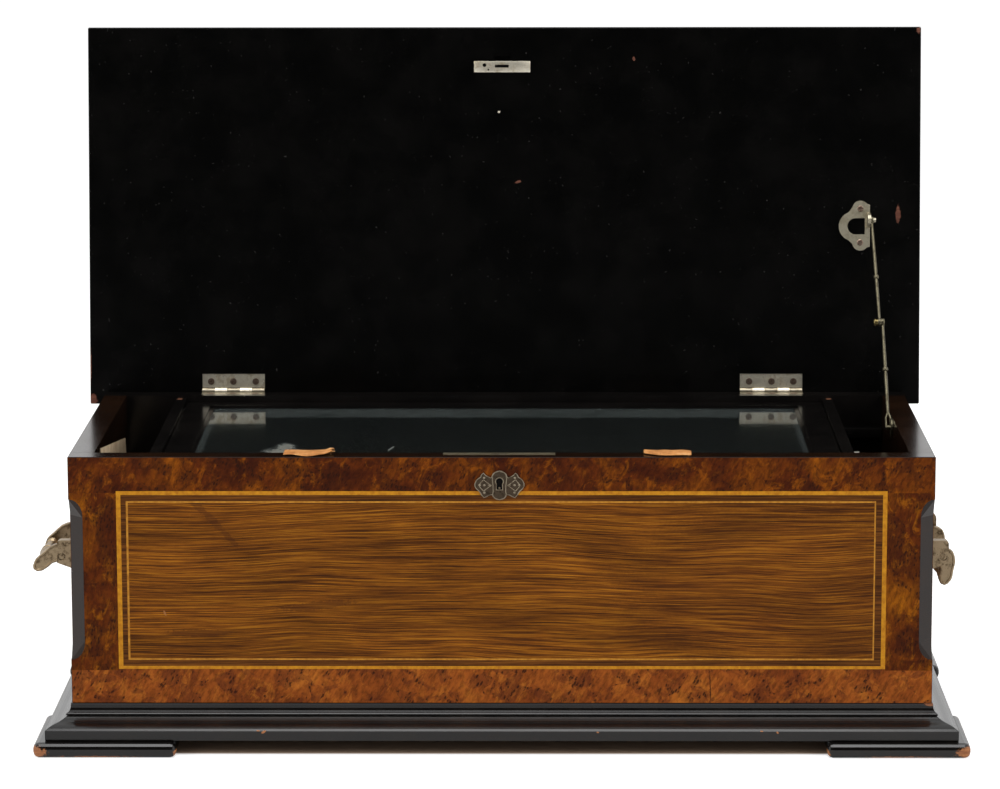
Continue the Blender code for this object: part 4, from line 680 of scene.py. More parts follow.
pineLook = {"dark": (0.07, 0.03, 0.014), "light": (0.16, 0.08, 0.035), "stretch": (0.01, 0.2, 0.2)}
glassLook = {
    "clear": (0.80, 0.90, 0.88),
    "dusty": (0.30, 0.38, 0.37),
    "milk": (0.62, 0.62, 0.55),
    "gloss": (0.02, 0.08),
    "cloudy": 0.22,
    # a faint milky film over all the glass: partly haze, partly painted sheen
    "film": 0.007,
    # where the painted highlight band along the rear and side edges runs, and how strong it is
    "rear": (56, 63),
    "side": (213, 219),
    "edge": 0.032,
    "specular": 0.36,
    "ior": 1.5,
    "smears": [
        ((-157, -90, 205.5), (24, 12, 4)),
        ((-157, -76, 205.5), (17, 15, 4)),
        ((-156, -60, 205.5), (9, 18, 4)),
        ((-80, -66, 205.5), (0.8, 13, 4), (0, 0, -14)),
    ],
}
leatherLook = {
    "dark": (0.36, 0.13, 0.03),
    "light": (0.62, 0.27, 0.08),
    "pale": (0.75, 0.42, 0.18),
    "crease": (0.22, 0.08, 0.03),
}
finishes["plain_wood"] = plainWood("plainPine", pineLook)
finishes["glass"] = clearGlass("oldGlass", glassLook)
finishes["leather"] = tannedLeather("tanLeather", leatherLook)
finishes["paper"] = oldPaper("blankPaper", {"pale": (0.84, 0.66, 0.44), "brown": (0.62, 0.43, 0.26)})

# nodes of the CAD whose finish isn't the one of their material slot
nodeFinish = {
    "escutcheon": "plateBronze",
    "lid_catch_plate": "hingeBrass",
    "stay_lid_bracket": "bracketBrass",
    "lid_panel": "lidEdges",
    **dict.fromkeys(("stay_case_bracket", "stay_lower_link", "stay_upper_link"), "stayMetal"),
    **dict.fromkeys(("left_partition", "right_partition", "glass_frame"), "inside"),
    **dict.fromkeys(("front_wall", "left_end", "right_end"), "caseEdges"),
}
for side in ("front", "back", "left", "right"):
    nodeFinish["plinth_" + side] = "plinth"
    nodeFinish["lid_moulding_" + side] = "lidEdges"
for side in ("left", "right"):
    nodeFinish["foot_front_" + side] = "feet"
    nodeFinish["foot_back_" + side] = "feet"
    nodeFinish["hinge_case_leaf_" + side] = "hingeDull"
    nodeFinish["hinge_lid_leaf_" + side] = "hingeBrass"
    nodeFinish["hinge_pin_" + side] = "hingeDull"
for part in frame["record"]["subparts"]:
    node = nodes[part["node"]]
    finish = nodeFinish.get(part["node"], part["material_slot"])
    node.data.materials.clear()
    node.data.materials.append(finishes[finish])
print("finishes on", len(nodes), "nodes")


# veneer laid on the front, the ends and the lid
lidTop = 19.5  # how high the lid's top stands over the rim when it is shut
laidOff = 0.02  # the gap behind a sheet of veneer, in millimetres
faces = {
    # how a flat layout of (along, up) lies on each face, and which way is out; on the lid up runs forward
    "front": lambda along, up, out: (along, -caseSize["halfDepth"] - out, up),
    "left": lambda along, up, out: (-caseSize["halfWidth"] - out, -along, up),
    "right": lambda along, up, out: (caseSize["halfWidth"] + out, along, up),
    "lid": lambda along, up, out: (along, caseSize["pinY"] - up, caseSize["rim"] + lidTop + out),
}


def layOn(face, name, outline, thick):
    near = [faces[face](along, up, laidOff) for along, up in outline]
    push = Vector(faces[face](0, 0, thick)) - Vector(faces[face](0, 0, 0))
    return plate(name, near, push)


def mitredFrame(face, name, outer, inner, thick):
    # four mitred strips between two rectangles given as (left, low, right, top)
    corners = []
    for left, low, right, top in (outer, inner):
        corners.append(((left, low), (right, low), (right, top), (left, top)))
    strips = []
    for i in range(4):
        j = (i + 1) % 4
        outline = [corners[0][i], corners[0][j], corners[1][j], corners[1][i]]
        strips.append(layOn(face, name, outline, thick))
    return joinPieces(strips, name)


def stoppedEdge(edge, cut, inward):
    # the boundary beside a stopped chamfer, from low to high, quarter round at both stops
    rise = []
    for i in range(cut["steps"] + 1):
        turn = math.pi / 2 * i / cut["steps"]
        rise.append((edge + inward * cut["width"] * math.sin(turn), cut["run"] * (1 - math.cos(turn))))
    fall = [(out, cut["high"] - up) for out, up in reversed(rise)]
    return [(out, cut["low"] + up) for out, up in rise] + fall


walls = {"edges": (34.3, 211.5), "joints": (57.9, 186.1)}
veneer = {
    "thick": 0.25,
    "chamfer": {"width": 9.6, "low": 65.5, "high": 181.5, "run": 12.5, "steps": 6},
    "front": {
        **walls,
        "half": 304.9,
        "outer": (-271.5, 58.9, 271.7, 187.5),
        "strip": (-268.3, 61.1, 268.6, 184.7),
        "inner": (-264.6, 65.4, 263.7, 180.3),
        "field": (-263.2, 66.6, 262.7, 179.1),
        "chamfered": (True, True),
    },
    "right": {
        **walls,
        "half": 130.9,
        "outer": (-97.5, 58.9, 103.5, 187.5),
        "strip": (-94.5, 61.3, 100.5, 184.9),
        "inner": (-90.7, 65.4, 96.7, 180.3),
        "field": (-89.4, 66.7, 95.4, 179.0),
        "chamfered": (True, False),
    },
    "lid": {
        "half": 302.1,
        "edges": (-5.9, 262.2),
        "joints": (26.5, 229.8),
        "outer": (-269.0, 27.5, 269.0, 228.8),
        "strip": (-266.0, 30.5, 266.0, 225.8),
        "inner": (-262.0, 34.5, 262.0, 221.8),
        "field": (-260.7, 35.8, 260.7, 220.5),
        "chamfered": (False, False),
    },
}
# the left end mirrors the right one
veneer["left"] = {**veneer["right"], "chamfered": (False, True)}
for rectangle in ("outer", "strip", "inner", "field"):
    left, low, right, top = veneer["right"][rectangle]
    veneer["left"][rectangle] = (-right, low, -left, top)


def veneerFace(face, layout, looks):
    # crossband round the edge, two inlaid lines with a dark strip between them, and the field
    thick = veneer["thick"]
    half = layout["half"]
    low, top = layout["edges"]
    jointLow, jointTop = layout["joints"]
    left, outerLow, right, outerTop = layout["outer"]
    outlines = {
        "BandTop": [(-half, jointTop), (left, jointTop), (left, outerTop), (right, outerTop),
                    (right, jointTop), (half, jointTop), (half, top), (-half, top)],
        "BandLow": [(-half, low), (half, low), (half, jointLow), (right, jointLow),
                    (right, outerLow), (left, outerLow), (left, jointLow), (-half, jointLow)],
    }
    sides = ((-1, left, "BandLeft"), (1, right, "BandRight"))
    for (side, inner, name), chamfered in zip(sides, layout["chamfered"]):
        edge = side * half
        outline = [(inner, jointLow), (edge, jointLow)]
        if chamfered:
            outline += stoppedEdge(edge, veneer["chamfer"], -side)
        outlines[name] = outline + [(edge, jointTop), (inner, jointTop)]
    pieces = [(layOn(face, face + name, outline, thick), looks[name]) for name, outline in outlines.items()]
    for name, outer, inner, finish in (
        ("LineOuter", "outer", "strip", "boxLine"),
        ("Strip", "strip", "inner", looks["Strip"]),
        ("LineInner", "inner", "field", "boxLineFine"),
    ):
        pieces.append((mitredFrame(face, face + name, layout[outer], layout[inner], thick), finish))
    left, low, right, top = layout["field"]
    corners = [(left, low), (right, low), (right, top), (left, top)]
    pieces.append((layOn(face, face + "Field", corners, thick), looks["Field"]))
    for piece, finish in pieces:
        if face == "lid":
            openWithLid(piece)
        finishPiece(piece, finish, "lid" if face == "lid" else "case")


burrLook = {
    "dark": (0.048, 0.008, 0.0015),
    "mid": (0.095, 0.018, 0.002),
    "light": (0.16, 0.038, 0.002),
    "bright": (0.32, 0.085, 0.003),
    "haze": (0.030, 0.006, 0.002),
    "eye": (0.018, 0.005, 0.002),
    "cloud": 0.034,
    "cluster": 0.075,
    "clusterAt": 0.50,
    "mottle": 0.11,
    "eyes": 0.62,
    "slant": (0, 28, 0),
    "gloss": (0.3, 0.42),
    "specular": 0.07,
}
sideLook = {
    **burrLook,
    "dark": (0.042, 0.007, 0.0015),
    "light": (0.15, 0.036, 0.002),
    "bright": (0.36, 0.11, 0.003),
    "cloud": 0.028,
    "cluster": 0.05,
    "slant": (0, 12, 0),
}
# the lower front crossband: the same burr painted lighter, as painted light from the bright floor below, with
# larger eyes and a thin dark mark
lowBandLitLook = {
    **burrLook,
    "dark": (0.17, 0.038, 0.007),
    "mid": (0.25, 0.060, 0.009),
    "light": (0.33, 0.085, 0.012),
    "bright": (0.48, 0.150, 0.018),
    "haze": (0.075, 0.016, 0.007),
    "eyes": 0.48,
    "marks": [([((148, -131.3, 46), (0.5, 2, 14), (0, -2, 0))], (0.03, 0.008, 0.004), 0.9)],
}
streakMarks = [
    # pale or dark places in the field's wood, as (patches, colour, strength)
    ([
        ((-214, -131.3, 177), (13, 2, 3.2), (0, 44, 0)),
        ((-203, -131.3, 166), (13, 2, 3.2), (0, 46, 0)),
        ((-192, -131.3, 154), (12, 2, 2.4), (0, 48, 0)),
    ], (0.05, 0.014, 0.005), 0.4),
    ([
        ((-215, -131.3, 85), (26, 2, 3)),
        ((-130, -131.3, 105), (30, 2, 3.5), (0, -6, 0)),
    ], (0.06, 0.017, 0.005), 0.5),
    ([((-238.2, -131.3, 99.5), (0.8, 2, 2.6), (0, -24, 0))], (0.34, 0.15, 0.06), 0.7),
    ([((283, -131.3, 176), (19, 2, 0.7), (0, 12, 0))], (0.04, 0.012, 0.004), 0.8),
    ([((190, -131.3, 120), (120, 2, 70))], (0.05, 0.012, 0.004), 0.16),
]
woodLook = {
    "bend": (0.004, 0.004, 0.008),
    "bendBy": 26,
    "stretch": (0.018, 0.3, 1.5),
    "hairStretch": (0.05, 1, 4.4),
    "broad": (0.012, 0.02, 0.055),
    "dark": (0.050, 0.015, 0.0035),
    "mid": (0.140, 0.041, 0.005),
    "gold": (0.27, 0.088, 0.007),
    "bright": (0.44, 0.17, 0.012),
    "deep": (0.03, 0.009, 0.003),
    "shade": 0.60,
    "pores": 0.72,
    "poreAt": 0.57,
    "gloss": (0.3, 0.42),
    "specular": 0.07,
    "relief": 0.12,
}
endWood = {
    "bend": (0.004, 0.004, 0.008),
    "stretch": (0.3, 0.018, 1.5),
    "hairStretch": (1, 0.05, 4.4),
    "broad": (0.02, 0.012, 0.055),
}
stripLook = {
    **woodLook,
    "bendBy": 3,
    "dark": (0.05, 0.016, 0.004),
    "mid": (0.09, 0.028, 0.006),
    "gold": (0.16, 0.052, 0.008),
    "bright": (0.23, 0.085, 0.012),
}
for key, make, look in (
    ("burrTop", burr, burrLook),
    ("burrLow", burr, lowBandLitLook),
    ("burrSide", burr, sideLook),
    ("burrEnds", burr, {**burrLook, "slant": (28, 0, 0)}),
    ("fieldWood", rosewood, {**woodLook, "marks": streakMarks}),
    ("fieldWoodLid", rosewood, woodLook),
    ("fieldWoodEnds", rosewood, {**woodLook, **endWood}),
    ("stripWood", rosewood, stripLook),
    ("stripWoodEnds", rosewood, {**stripLook, **endWood}),
    ("boxLine", inlay, {"dark": (0.36, 0.13, 0.005), "light": (0.56, 0.24, 0.010)}),
    ("boxLineFine", inlay, {"dark": (0.32, 0.12, 0.010), "light": (0.52, 0.23, 0.025)}),
):
    finishes[key] = make(key, look)

sheetLooks = {
    "front": {
        "BandTop": "burrTop",
        # the lower band's burr is lighter as painted light from the floor
        "BandLow": "burrLow",
        "BandLeft": "burrSide",
        "BandRight": "burrSide",
        "Strip": "stripWood",
        "Field": "fieldWood",
    },
    "right": {
        **dict.fromkeys(("BandTop", "BandLow", "BandLeft", "BandRight"), "burrEnds"),
        "Strip": "stripWoodEnds",
        "Field": "fieldWoodEnds",
    },
}
sheetLooks["left"] = sheetLooks["right"]
sheetLooks["lid"] = {**sheetLooks["front"], "BandLow": "burrTop", "Field": "fieldWoodLid"}
for face, looks in sheetLooks.items():
    veneerFace(face, veneer[face], looks)
print("veneer laid")


# black lining of the lid, cut away for the hinges and the lock's catch
lining = {
    # areas are (left, right, low, high): millimetres along the lid, and forward from the hinge pin
    "skin": (0.12, 0.27),
    "reach": (-9.3, 277.6),
    "half": 317.4,
    "joints": (-303.0, 298.0),
    "seam": 0.12,
    "hinges": ((-231.8, -183.8, -20, 13.4), (180.6, 228.6, -20, 13.4)),
    "catch": (-23.0, 20.0, 244.0, 253.6),
    "bolt": (-8.0, 5.0, 253.0, 258.5),
    "through": (-1, 1),
}


def lidSlab(name, area, skin, edge=0.0):
    # a slab on the shut lid, over an area as above; skin is its lower and upper side over the rim
    left, right, low, high = area
    pinY, rim = caseSize["pinY"], caseSize["rim"]
    return slab(name, (left, pinY - high, rim + skin[0]), (right, pinY - low, rim + skin[1]), edge)


first, last = lining["joints"]
sheets = []
for name, left, right in (
    ("liningLeft", -lining["half"], first - lining["seam"]),
    ("liningMiddle", first + lining["seam"], last - lining["seam"]),
    ("liningRight", last + lining["seam"], lining["half"]),
):
    sheets.append(lidSlab(name, (left, right, *lining["reach"]), lining["skin"]))
rooms = [*lining["hinges"], lining["catch"], lining["bolt"]]
cutOut(sheets[1], [lidSlab("room", area, lining["through"]) for area in rooms])
for sheet in sheets:
    openWithLid(sheet)
    finishPiece(sheet, "lidInside", "lid")
print("lid lined")


# screws, modelled once each and copied with their own meshes
def slottedScrew(name, look):
    # a low domed head with a sawn slot, standing on the level it is driven into
    radius, rise = look["radius"], look["rise"]
    profile = [(0, -0.5), (radius, -0.5), (radius, rise * 0.35), (radius * 0.8, rise * 0.75), (0, rise)]
    head = spun(name, profile, 20)
    half = look["slot"] / 2
    slot = slab("slot", (-radius - 1, -half, rise - look["deep"]), (radius + 1, half, rise + 1))
    slot.data.transform(Matrix.Translation(-middle))
    return cutOut(head, [slot])


screws = {
    "hinge": {"radius": 2.5, "rise": 0.12, "slot": 0.6, "deep": 0.35},
    "small": {"radius": 1.9, "rise": 0.4, "slot": 0.5, "deep": 0.35},
    "bracket": {"radius": 2.4, "rise": 0.9, "slot": 0.6, "deep": 0.6},
    "plate": {"radius": 2.6, "rise": 0.9, "slot": 0.6, "deep": 0.5},
    "comb": {"radius": 3.4, "rise": 2.0, "slot": 0.8, "deep": 1.0},
    "bed": {"radius": 4.5, "rise": 2.6, "slot": 1.0, "deep": 1.3},
}
screwHeads = {kind: slottedScrew("screw" + kind.title(), look) for kind, look in screws.items()}
slotTurns = {"step": 37, "first": 13}  # degrees, so that no two slots in a row lie the same way


def driveScrews(name, kind, places, facing, finish, body):
    # a row of screws at places in case millimetres
    matrices = []
    for k, place in enumerate(places):
        matrices.append(aim(place, facing, slotTurns["step"] * k + slotTurns["first"]))
    return finishPiece(repeat(screwHeads[kind], name, matrices), finish, body)


screwPlaces = {
    # on the lid as (x, reach), on the ends as (y, z)
    "hinges": {"left": (-225.1, -208.1, -190.9), "right": (187.7, 204.9, 221.6)},
    "fromPin": 7.4,
    "lidSink": 0.11,
    "rimSink": 0.14,
    "bracket": ((272.3, 139.7), (272.1, 113.9)),
    "bracketFace": 1.3,
    "lock": (-35.5, -19, 16, 32.5),
    "lockY": -119.2,
    "lockSink": 0.42,
    "plate": ((-30, 122.5), (30, 122.5), (0, 143.5), (0, 105)),
    "plateFace": 3.3,
}
rim = caseSize["rim"]
for side, xs in screwPlaces["hinges"].items():
    onLeaf = [onLid(x, screwPlaces["fromPin"], -screwPlaces["lidSink"]) for x in xs]
    driveScrews(side + "HingeLidScrews", "hinge", onLeaf, lidFacing, "screwSteel", "lid")
    onRim = [(x, caseSize["pinY"] - screwPlaces["fromPin"], rim - screwPlaces["rimSink"]) for x in xs]
    driveScrews(side + "HingeRimScrews", "hinge", onRim, (0, 0, 1), "screwSteel", "case")
places = [onLid(x, reach, screwPlaces["bracketFace"]) for x, reach in screwPlaces["bracket"]]
driveScrews("stayBracketScrews", "bracket", places, lidFacing, "screwSteel", "lid")
places = [(x, screwPlaces["lockY"], rim - screwPlaces["lockSink"]) for x in screwPlaces["lock"]]
driveScrews("lockScrews", "small", places, (0, 0, 1), "screwSteel", "case")
for side, sign in (("left", -1), ("right", 1)):
    face = sign * (caseSize["halfWidth"] + screwPlaces["plateFace"])
    places = [(face, y, z) for y, z in screwPlaces["plate"]]
    driveScrews(side + "PlateScrews", "plate", places, (sign, 0, 0), "handle_metal", "case")
print("screws driven")


# the lock's catch on the lid: a brass plate with two bores, a slot and two screws, and a nail below it
catch = {
    "plate": (-23.0, 20.0, 243.9, 252.5),
    "skin": (0.05, 0.9),
    "holes": ((-15.0, 249.4, 1.4), (-12.0, 246.0, 0.6)),
    "slot": (-7.0, 3.5, 247.6, 250.4),
    "screws": ((9.1, 248.3), (15.6, 249.0)),
    "nail": (-3.9, 213.7),
    "screwSink": 0.43,
    "slotSkin": (-1, 0.6),
}
catchPlate = lidSlab("catchPlate", catch["plate"], catch["skin"], 0.25)
tools = [lidSlab("slot", catch["slot"], catch["slotSkin"])]
for x, reach, radius in catch["holes"]:
    bore = spun("bore", [(0, -0.6), (radius, -0.6), (radius, 1), (0, 1)], 16)
    bore.data.transform(Matrix.Translation(at(x, caseSize["pinY"] - reach, rim)))
    tools.append(bore)
cutOut(catchPlate, tools)
openWithLid(catchPlate)
finishPiece(catchPlate, "hingeBrass", "lid")
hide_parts("lid_catch_plate")
places = [onLid(x, reach, -catch["screwSink"]) for x, reach in catch["screws"]]
driveScrews("catchScrews", "small", places, lidFacing, "screwSteel", "lid")
nail = spun("catchNail", [(0, -0.6), (0.9, -0.6), (0.9, -0.1), (0.5, 0.05), (0, 0.1)], 12)
nail.data.transform(aim(onLid(*catch["nail"]), lidFacing))
finishPiece(nail, "hingeBrass", "lid")
print("catch made")


# the escutcheon: a scrolled plate with sunk wings, raised rims, chased scrolls, and a black sheet in the
# keyhole as painted shade
keyPlate = {
    "centre": (-1.2, 191.8),
    "face": -131.3,
    "thick": 0.9,
    "rim": 0.36,
    "half": [
        (0, 10.4), (1.6, 10.2), (3.2, 9.3), (4.6, 8.2), (5.3, 6.2), (6.0, 5.4), (8.0, 6.2), (9.9, 7.3),
        (11.3, 8.9), (12.6, 7.6), (13.2, 6.0), (14.8, 4.9), (16.2, 3.6), (17.3, 1.2), (17.2, -0.6),
        (16.2, -2.4), (14.6, -3.8), (13.4, -5.2), (12.6, -6.8), (10.9, -8.7), (9.4, -8.1), (7.0, -6.8),
        (5.3, -6.5), (4.4, -8.0), (2.6, -9.6), (0, -10.2),
    ],
    "boss": [
        (0, 10.4), (3.2, 9.3), (4.7, 7.4), (5.0, 4.0), (4.5, 0), (4.4, -4.2), (4.8, -6.6), (3.6, -9.0),
        (0, -10.2),
    ],
    "dots": ((7.0, 0.2), (10.6, 0.2), (14.0, 0.2), (10.8, 5.4), (10.6, -5.2)),
    "pin": (0, -1.9),
    "keyRadius": 2.8,
    "keyArc": (-40, 260, 12),  # first angle, sweep and steps
    "keyUp": 2.8,
    "keyHalf": 2.3,
    "keyFoot": -3.2,
    # the chased scrolls
    "start": 5.6,
    "reach": 8.0,
    "rise": 3.4,
    "curl": 2.0,
    "turns": 1.2,
    "steps": 20,
    "wire": 0.2,
}


def mirrored(half):
    # a closed outline from its right half, given from the top to the bottom
    return half + [(-x, z) for x, z in reversed(half[1:-1])]


def onPlate(look, outline, out):
    return [(look["centre"][0] + x, look["face"] - out, look["centre"][1] + z) for x, z in outline]


def keyOutline(look):
    points = []
    first, sweep, steps = look["keyArc"]
    for k in range(steps + 1):
        turn = math.radians(first + sweep * k / steps)
        out, up = look["keyRadius"] * math.cos(turn), look["keyRadius"] * math.sin(turn)
        points.append((out, look["keyUp"] + up))
    return points + [(-look["keyHalf"], look["keyFoot"]), (look["keyHalf"], look["keyFoot"])]


def scroll(look, sign, up):
    # one chased scroll from the boss out to a wing, curling at its end
    points = []
    for i in range(look["steps"] + 1):
        share = i / look["steps"]
        turn = math.radians(look["turns"] * 360 * share)
        radius = look["curl"] * (1 - 0.7 * share)
        x = look["start"] + look["reach"] * (1 - (1 - share) ** 2) + radius * math.sin(turn) * share
        z = up * (look["rise"] * math.sin(math.pi * share) + radius * (1 - math.cos(turn)) * share * 0.5)
        points.append((sign * x, z))
    return wire("scroll", onPlate(look, points, look["thick"]), look["wire"], 1)


outline = mirrored(keyPlate["half"])
key = keyOutline(keyPlate)
ground = plate("keyPlate", onPlate(keyPlate, outline, 0), (0, -keyPlate["thick"], 0))
hole = plate("keyCut", onPlate(keyPlate, key, -2), (0, -6, 0))
cutOut(ground, [hole])
# its dark ground is partly painted shade for the recess inside the raised rims
finishPiece(ground, "plateGround", "case")
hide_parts("escutcheon")
rims = []
for points in (outline, mirrored(keyPlate["boss"]), key):
    closed = onPlate(keyPlate, points + points[:1], keyPlate["thick"])
    rims.append(wire("rim", closed, keyPlate["rim"], 2))
rims += [scroll(keyPlate, sign, up) for sign in (-1, 1) for up in (-1, 1)]
bossHead = spun("boss", [(0, -0.4), (0.9, -0.4), (0.8, 0.1), (0.4, 0.35), (0, 0.4)], 12)
dots = []
for x, z in keyPlate["dots"]:
    for sign in (-1, 1):
        place = onPlate(keyPlate, [(sign * x, z)], keyPlate["thick"])[0]
        dots.append(aim(place, (0, -1, 0)))
chasing = joinPieces(rims + [repeat(bossHead, "bosses", dots)], "keyPlateChasing")
discard(bossHead)
finishPiece(chasing, "plateBronze", "case")
# painted shade: a flat black sheet in the keyhole stands in for the shadow inside the hole
keyholeShade = plate("keyHollow", onPlate(keyPlate, key, 0.1), (0, -0.12, 0))
finishPiece(keyholeShade, "dark", "case")
pin = spun("keyPin", [(0, 0), (0.7, 0), (0.7, 0.45), (0.4, 0.6), (0, 0.6)], 12)
pin.data.transform(aim(onPlate(keyPlate, [keyPlate["pin"]], 0.2)[0], (0, -1, 0)))
finishPiece(pin, "plateBronze", "case")
print("escutcheon dressed")


# the lid stay: two slim turned rods with rings, a brass knuckle between them and a forked foot
stay = {
    "lid": (280.3, 140.89, 343.18),
    "kneeUpper": (282.4, 81.4, 273.8),
    "kneeLower": (284.6, 81.4, 273.8),
    "knuckleAt": (280.6, 81.4, 273.8),
    "foot": (285.2, 22, 204.5),
    "upperRing": 0.56,
    "lowerRing": 0.45,
    "upperEnd": 0.97,
    "lowerEnd": 0.86,
    "tines": {"out": 1.7, "thick": 0.8},
    "eye": [(0, -1.3), (2.9, -1.3), (3.1, -0.9), (3.1, 0.9), (2.9, 1.3), (0, 1.3)],
    "knuckle": [
        (0, -2.6), (2.4, -2.6), (2.9, -1.9), (2.9, -1.2), (2.5, -0.9), (2.5, 0.9), (2.9, 1.2), (2.9, 1.9),
        (2.4, 2.6), (0, 2.6),
    ],
}


def rodProfile(length, ringAt, last):
    # a rod swelling either side of its ring, as (out, up) along it
    ring = ringAt * length
    lower = [(1.35, -5), (1.1, -2.6), (1.1, -1.6), (1.9, -1.3), (2.1, -0.5)]
    swell = lower + [(out, -up) for out, up in reversed(lower)]
    middlePart = [(out, ring + up) for out, up in swell]
    top = last * length
    return [(0, 2), (1.0, 2), (1.15, 14), *middlePart, (1.15, top - 8), (1.0, top), (0, top)]


def stayRod(name, node, start, end, ringAt, last, forked, body):
    run = Vector(end) - Vector(start)
    rod = spun(name, rodProfile(run.length, ringAt, last), 20)
    rod.data.transform(aim(start, run))
    eyes = spun(name, stay["eye"], 20)
    places = [start] if forked else [start, end]
    pieces = [rod, repeat(eyes, name, [aim(place, (1, 0, 0)) for place in places])]
    discard(eyes)
    if forked:
        for sign in (-1, 1):
            out = Vector((sign * stay["tines"]["out"], 0, 0))
            root = Vector(start) + run * (last - 0.01)
            bow = Vector(start) + run * (last + 0.05) + out
            pieces.append(wire(name, [root, bow, Vector(end) + out], stay["tines"]["thick"]))
    made = joinPieces(pieces, name)
    finishPiece(made, "stayMetal", body)
    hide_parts(node)


for name, node, start, end, ringAt, last, forked, body in (
    ("stayUpperRod", "stay_upper_link", "lid", "kneeUpper", "upperRing", "upperEnd", False, "stay_upper"),
    ("stayLowerRod", "stay_lower_link", "kneeLower", "foot", "lowerRing", "lowerEnd", True, "stay_lower"),
):
    stayRod(name, node, stay[start], stay[end], stay[ringAt], stay[last], forked, body)
knuckle = spun("stayKnuckle", stay["knuckle"], 20)
knuckle.data.transform(aim(stay["knuckleAt"], (1, 0, 0)))
finishPiece(knuckle, "stayBrass", "stay_upper")
print("stay made")


# the bails: cast cheeks shaped like leaves, joined by a swelled grip with turned rings
def leafCheek(name, look, side):
    # a cheek in the bail's own plane: out along x, thick along y, its faces sunk inside a raised rim
    points = [Vector((out, 0, up)) * mm for out, up in look["leaf"]]
    obj = pushed(name, points, (0, look["cheekThick"] * mm, 0))
    editAll(obj)
    bpy.ops.mesh.bevel(offset=look["soft"] * mm, segments=2, affect="EDGES")
    leaveEdit()
    pickFaces(obj, lambda face: abs(face.normal.y) > look["flat"])
    bpy.ops.mesh.inset(thickness=look["rim"] * mm, depth=0)
    bpy.ops.mesh.inset(thickness=look["rim"] * 0.5 * mm, depth=-look["sunk"] * mm)
    leaveEdit()
    start = look["cheek"] if side > 0 else -look["cheek"] - look["cheekThick"]
    obj.data.transform(Matrix.Translation(Vector((0, start, 0)) * mm))
    return obj


def castBail(name, node, look, side, angle):
    pieces = [leafCheek(name, look, -1), leafCheek(name, look, 1)]
    grip = spun(name, look["grip"], 24)
    lie = Matrix.Rotation(math.pi / 2, 4, "X")
    grip.data.transform(Matrix.Translation(Vector((look["reach"], 0, look["rise"])) * mm) @ lie)
    pieces.append(grip)
    for sign in (-1, 1):
        pin = spun(name, look["pin"], 20)
        pin.data.transform(Matrix.Rotation(-sign * math.pi / 2, 4, "X"))
        pieces.append(pin)
    made = joinPieces(pieces, name)
    tidyNormals(made)
    flip = Matrix.Rotation(math.pi, 4, "Z") if side < 0 else Matrix.Identity(4)
    lower = Matrix.Rotation(math.radians(angle) * side, 4, "Y")
    pivot = Matrix.Translation(at(side * look["pivot"], 0, look["height"]))
    made.data.transform(pivot @ lower @ flip)
    finishPiece(made, "handle_metal", "left_handle" if side < 0 else "right_handle", 40)
    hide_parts(node)


bail = {
    "pivot": 320.2,
    "height": 122.5,
    "reach": 17.0,
    "rise": 0.8,
    "cheek": 34.5,
    "cheekThick": 5.6,
    "soft": 0.7,
    "rim": 0.8,
    "sunk": 0.5,
    "flat": 0.98,
    "leaf": [
        (-4.2, -1.6), (-2.0, -4.0), (2.5, -4.4), (6.0, -3.4), (9.9, -2.4), (14.0, -3.4), (18.5, -3.9),
        (22.0, -2.6), (23.5, 0.2), (22.6, 2.8), (20.8, 4.4), (20.0, 5.4), (17.5, 6.4), (13.5, 7.3),
        (10.0, 8.3), (6.5, 9.2), (2.6, 9.0), (-0.8, 8.0), (-3.4, 5.0), (-4.4, 1.8),
    ],
    "grip": [
        (0, -36.0), (3.6, -36.0), (4.4, -34.0), (4.4, -31.5), (3.3, -30.5), (3.3, -29.5), (4.6, -28.5),
        (4.6, -27), (3.6, -26), (3.9, -18), (4.9, -8), (5.3, -3), (4.5, -2), (4.5, 2), (5.3, 3), (4.9, 8),
        (3.9, 18), (3.6, 26), (4.6, 27), (4.6, 28.5), (3.3, 29.5), (3.3, 30.5), (4.4, 31.5), (4.4, 34.0),
        (3.6, 36.0), (0, 36.0),
    ],
    "pin": [(0, 38), (3.9, 38), (3.9, 41.5), (2.5, 42.5), (2.5, 49.4), (0, 49.4)],
    "leftLonger": 1.07,
    "leftReach": 18.3,
    "leftAngle": 28,
    "rightAngle": 86,
}
longer = [(out * bail["leftLonger"], up) for out, up in bail["leaf"]]
castBail("leftBail", "left_bail", {**bail, "leaf": longer, "reach": bail["leftReach"]}, -1, bail["leftAngle"])
castBail("rightBail", "right_bail", bail, 1, bail["rightAngle"])

# marks cast on the ears: a ring on the left pair and a lozenge on the right pair
earMarks = {
    "face": 50.55,
    "left": {"x": -321.0, "z": 122.4, "profile": [(2.3, -0.3), (2.9, -0.3), (2.75, 0.25), (2.45, 0.25)],
             "steps": 24, "stretch": (1, 1, 1, 1), "smooth": 30},
    "right": {"x": 319.6, "z": 123.2, "profile": [(1.9, -0.3), (2.6, -0.3), (2.4, 0.3), (2.1, 0.3)],
              "steps": 4, "stretch": (0.75, 1.35, 1, 1), "smooth": 10},
}
for sign, place in ((-1, "Front"), (1, "Back")):
    for side in ("left", "right"):
        look = earMarks[side]
        mark = spun(side + "EarMark" + place, look["profile"], look["steps"])
        stand = aim((look["x"], sign * earMarks["face"], look["z"]), (0, sign, 0))
        mark.data.transform(stand @ Matrix.Diagonal(look["stretch"]))
        finishPiece(mark, "handle_metal", "case", look["smooth"])
print("handles cast")


# leather pulls of the glass lid, lying flat out over the rim
leather = {
    "thick": 0.8,
    "rimY": -129.0,
    "crestY": -112.5,
    "backY": -93.0,
    "crest": 212.75,
    "back": 208.1,
    "left": (-153.5, -118.0),
    "right": (100.5, 133.0),
    "press": 212.0,
    "pressY": -112,
    "keep": 0.02,
}


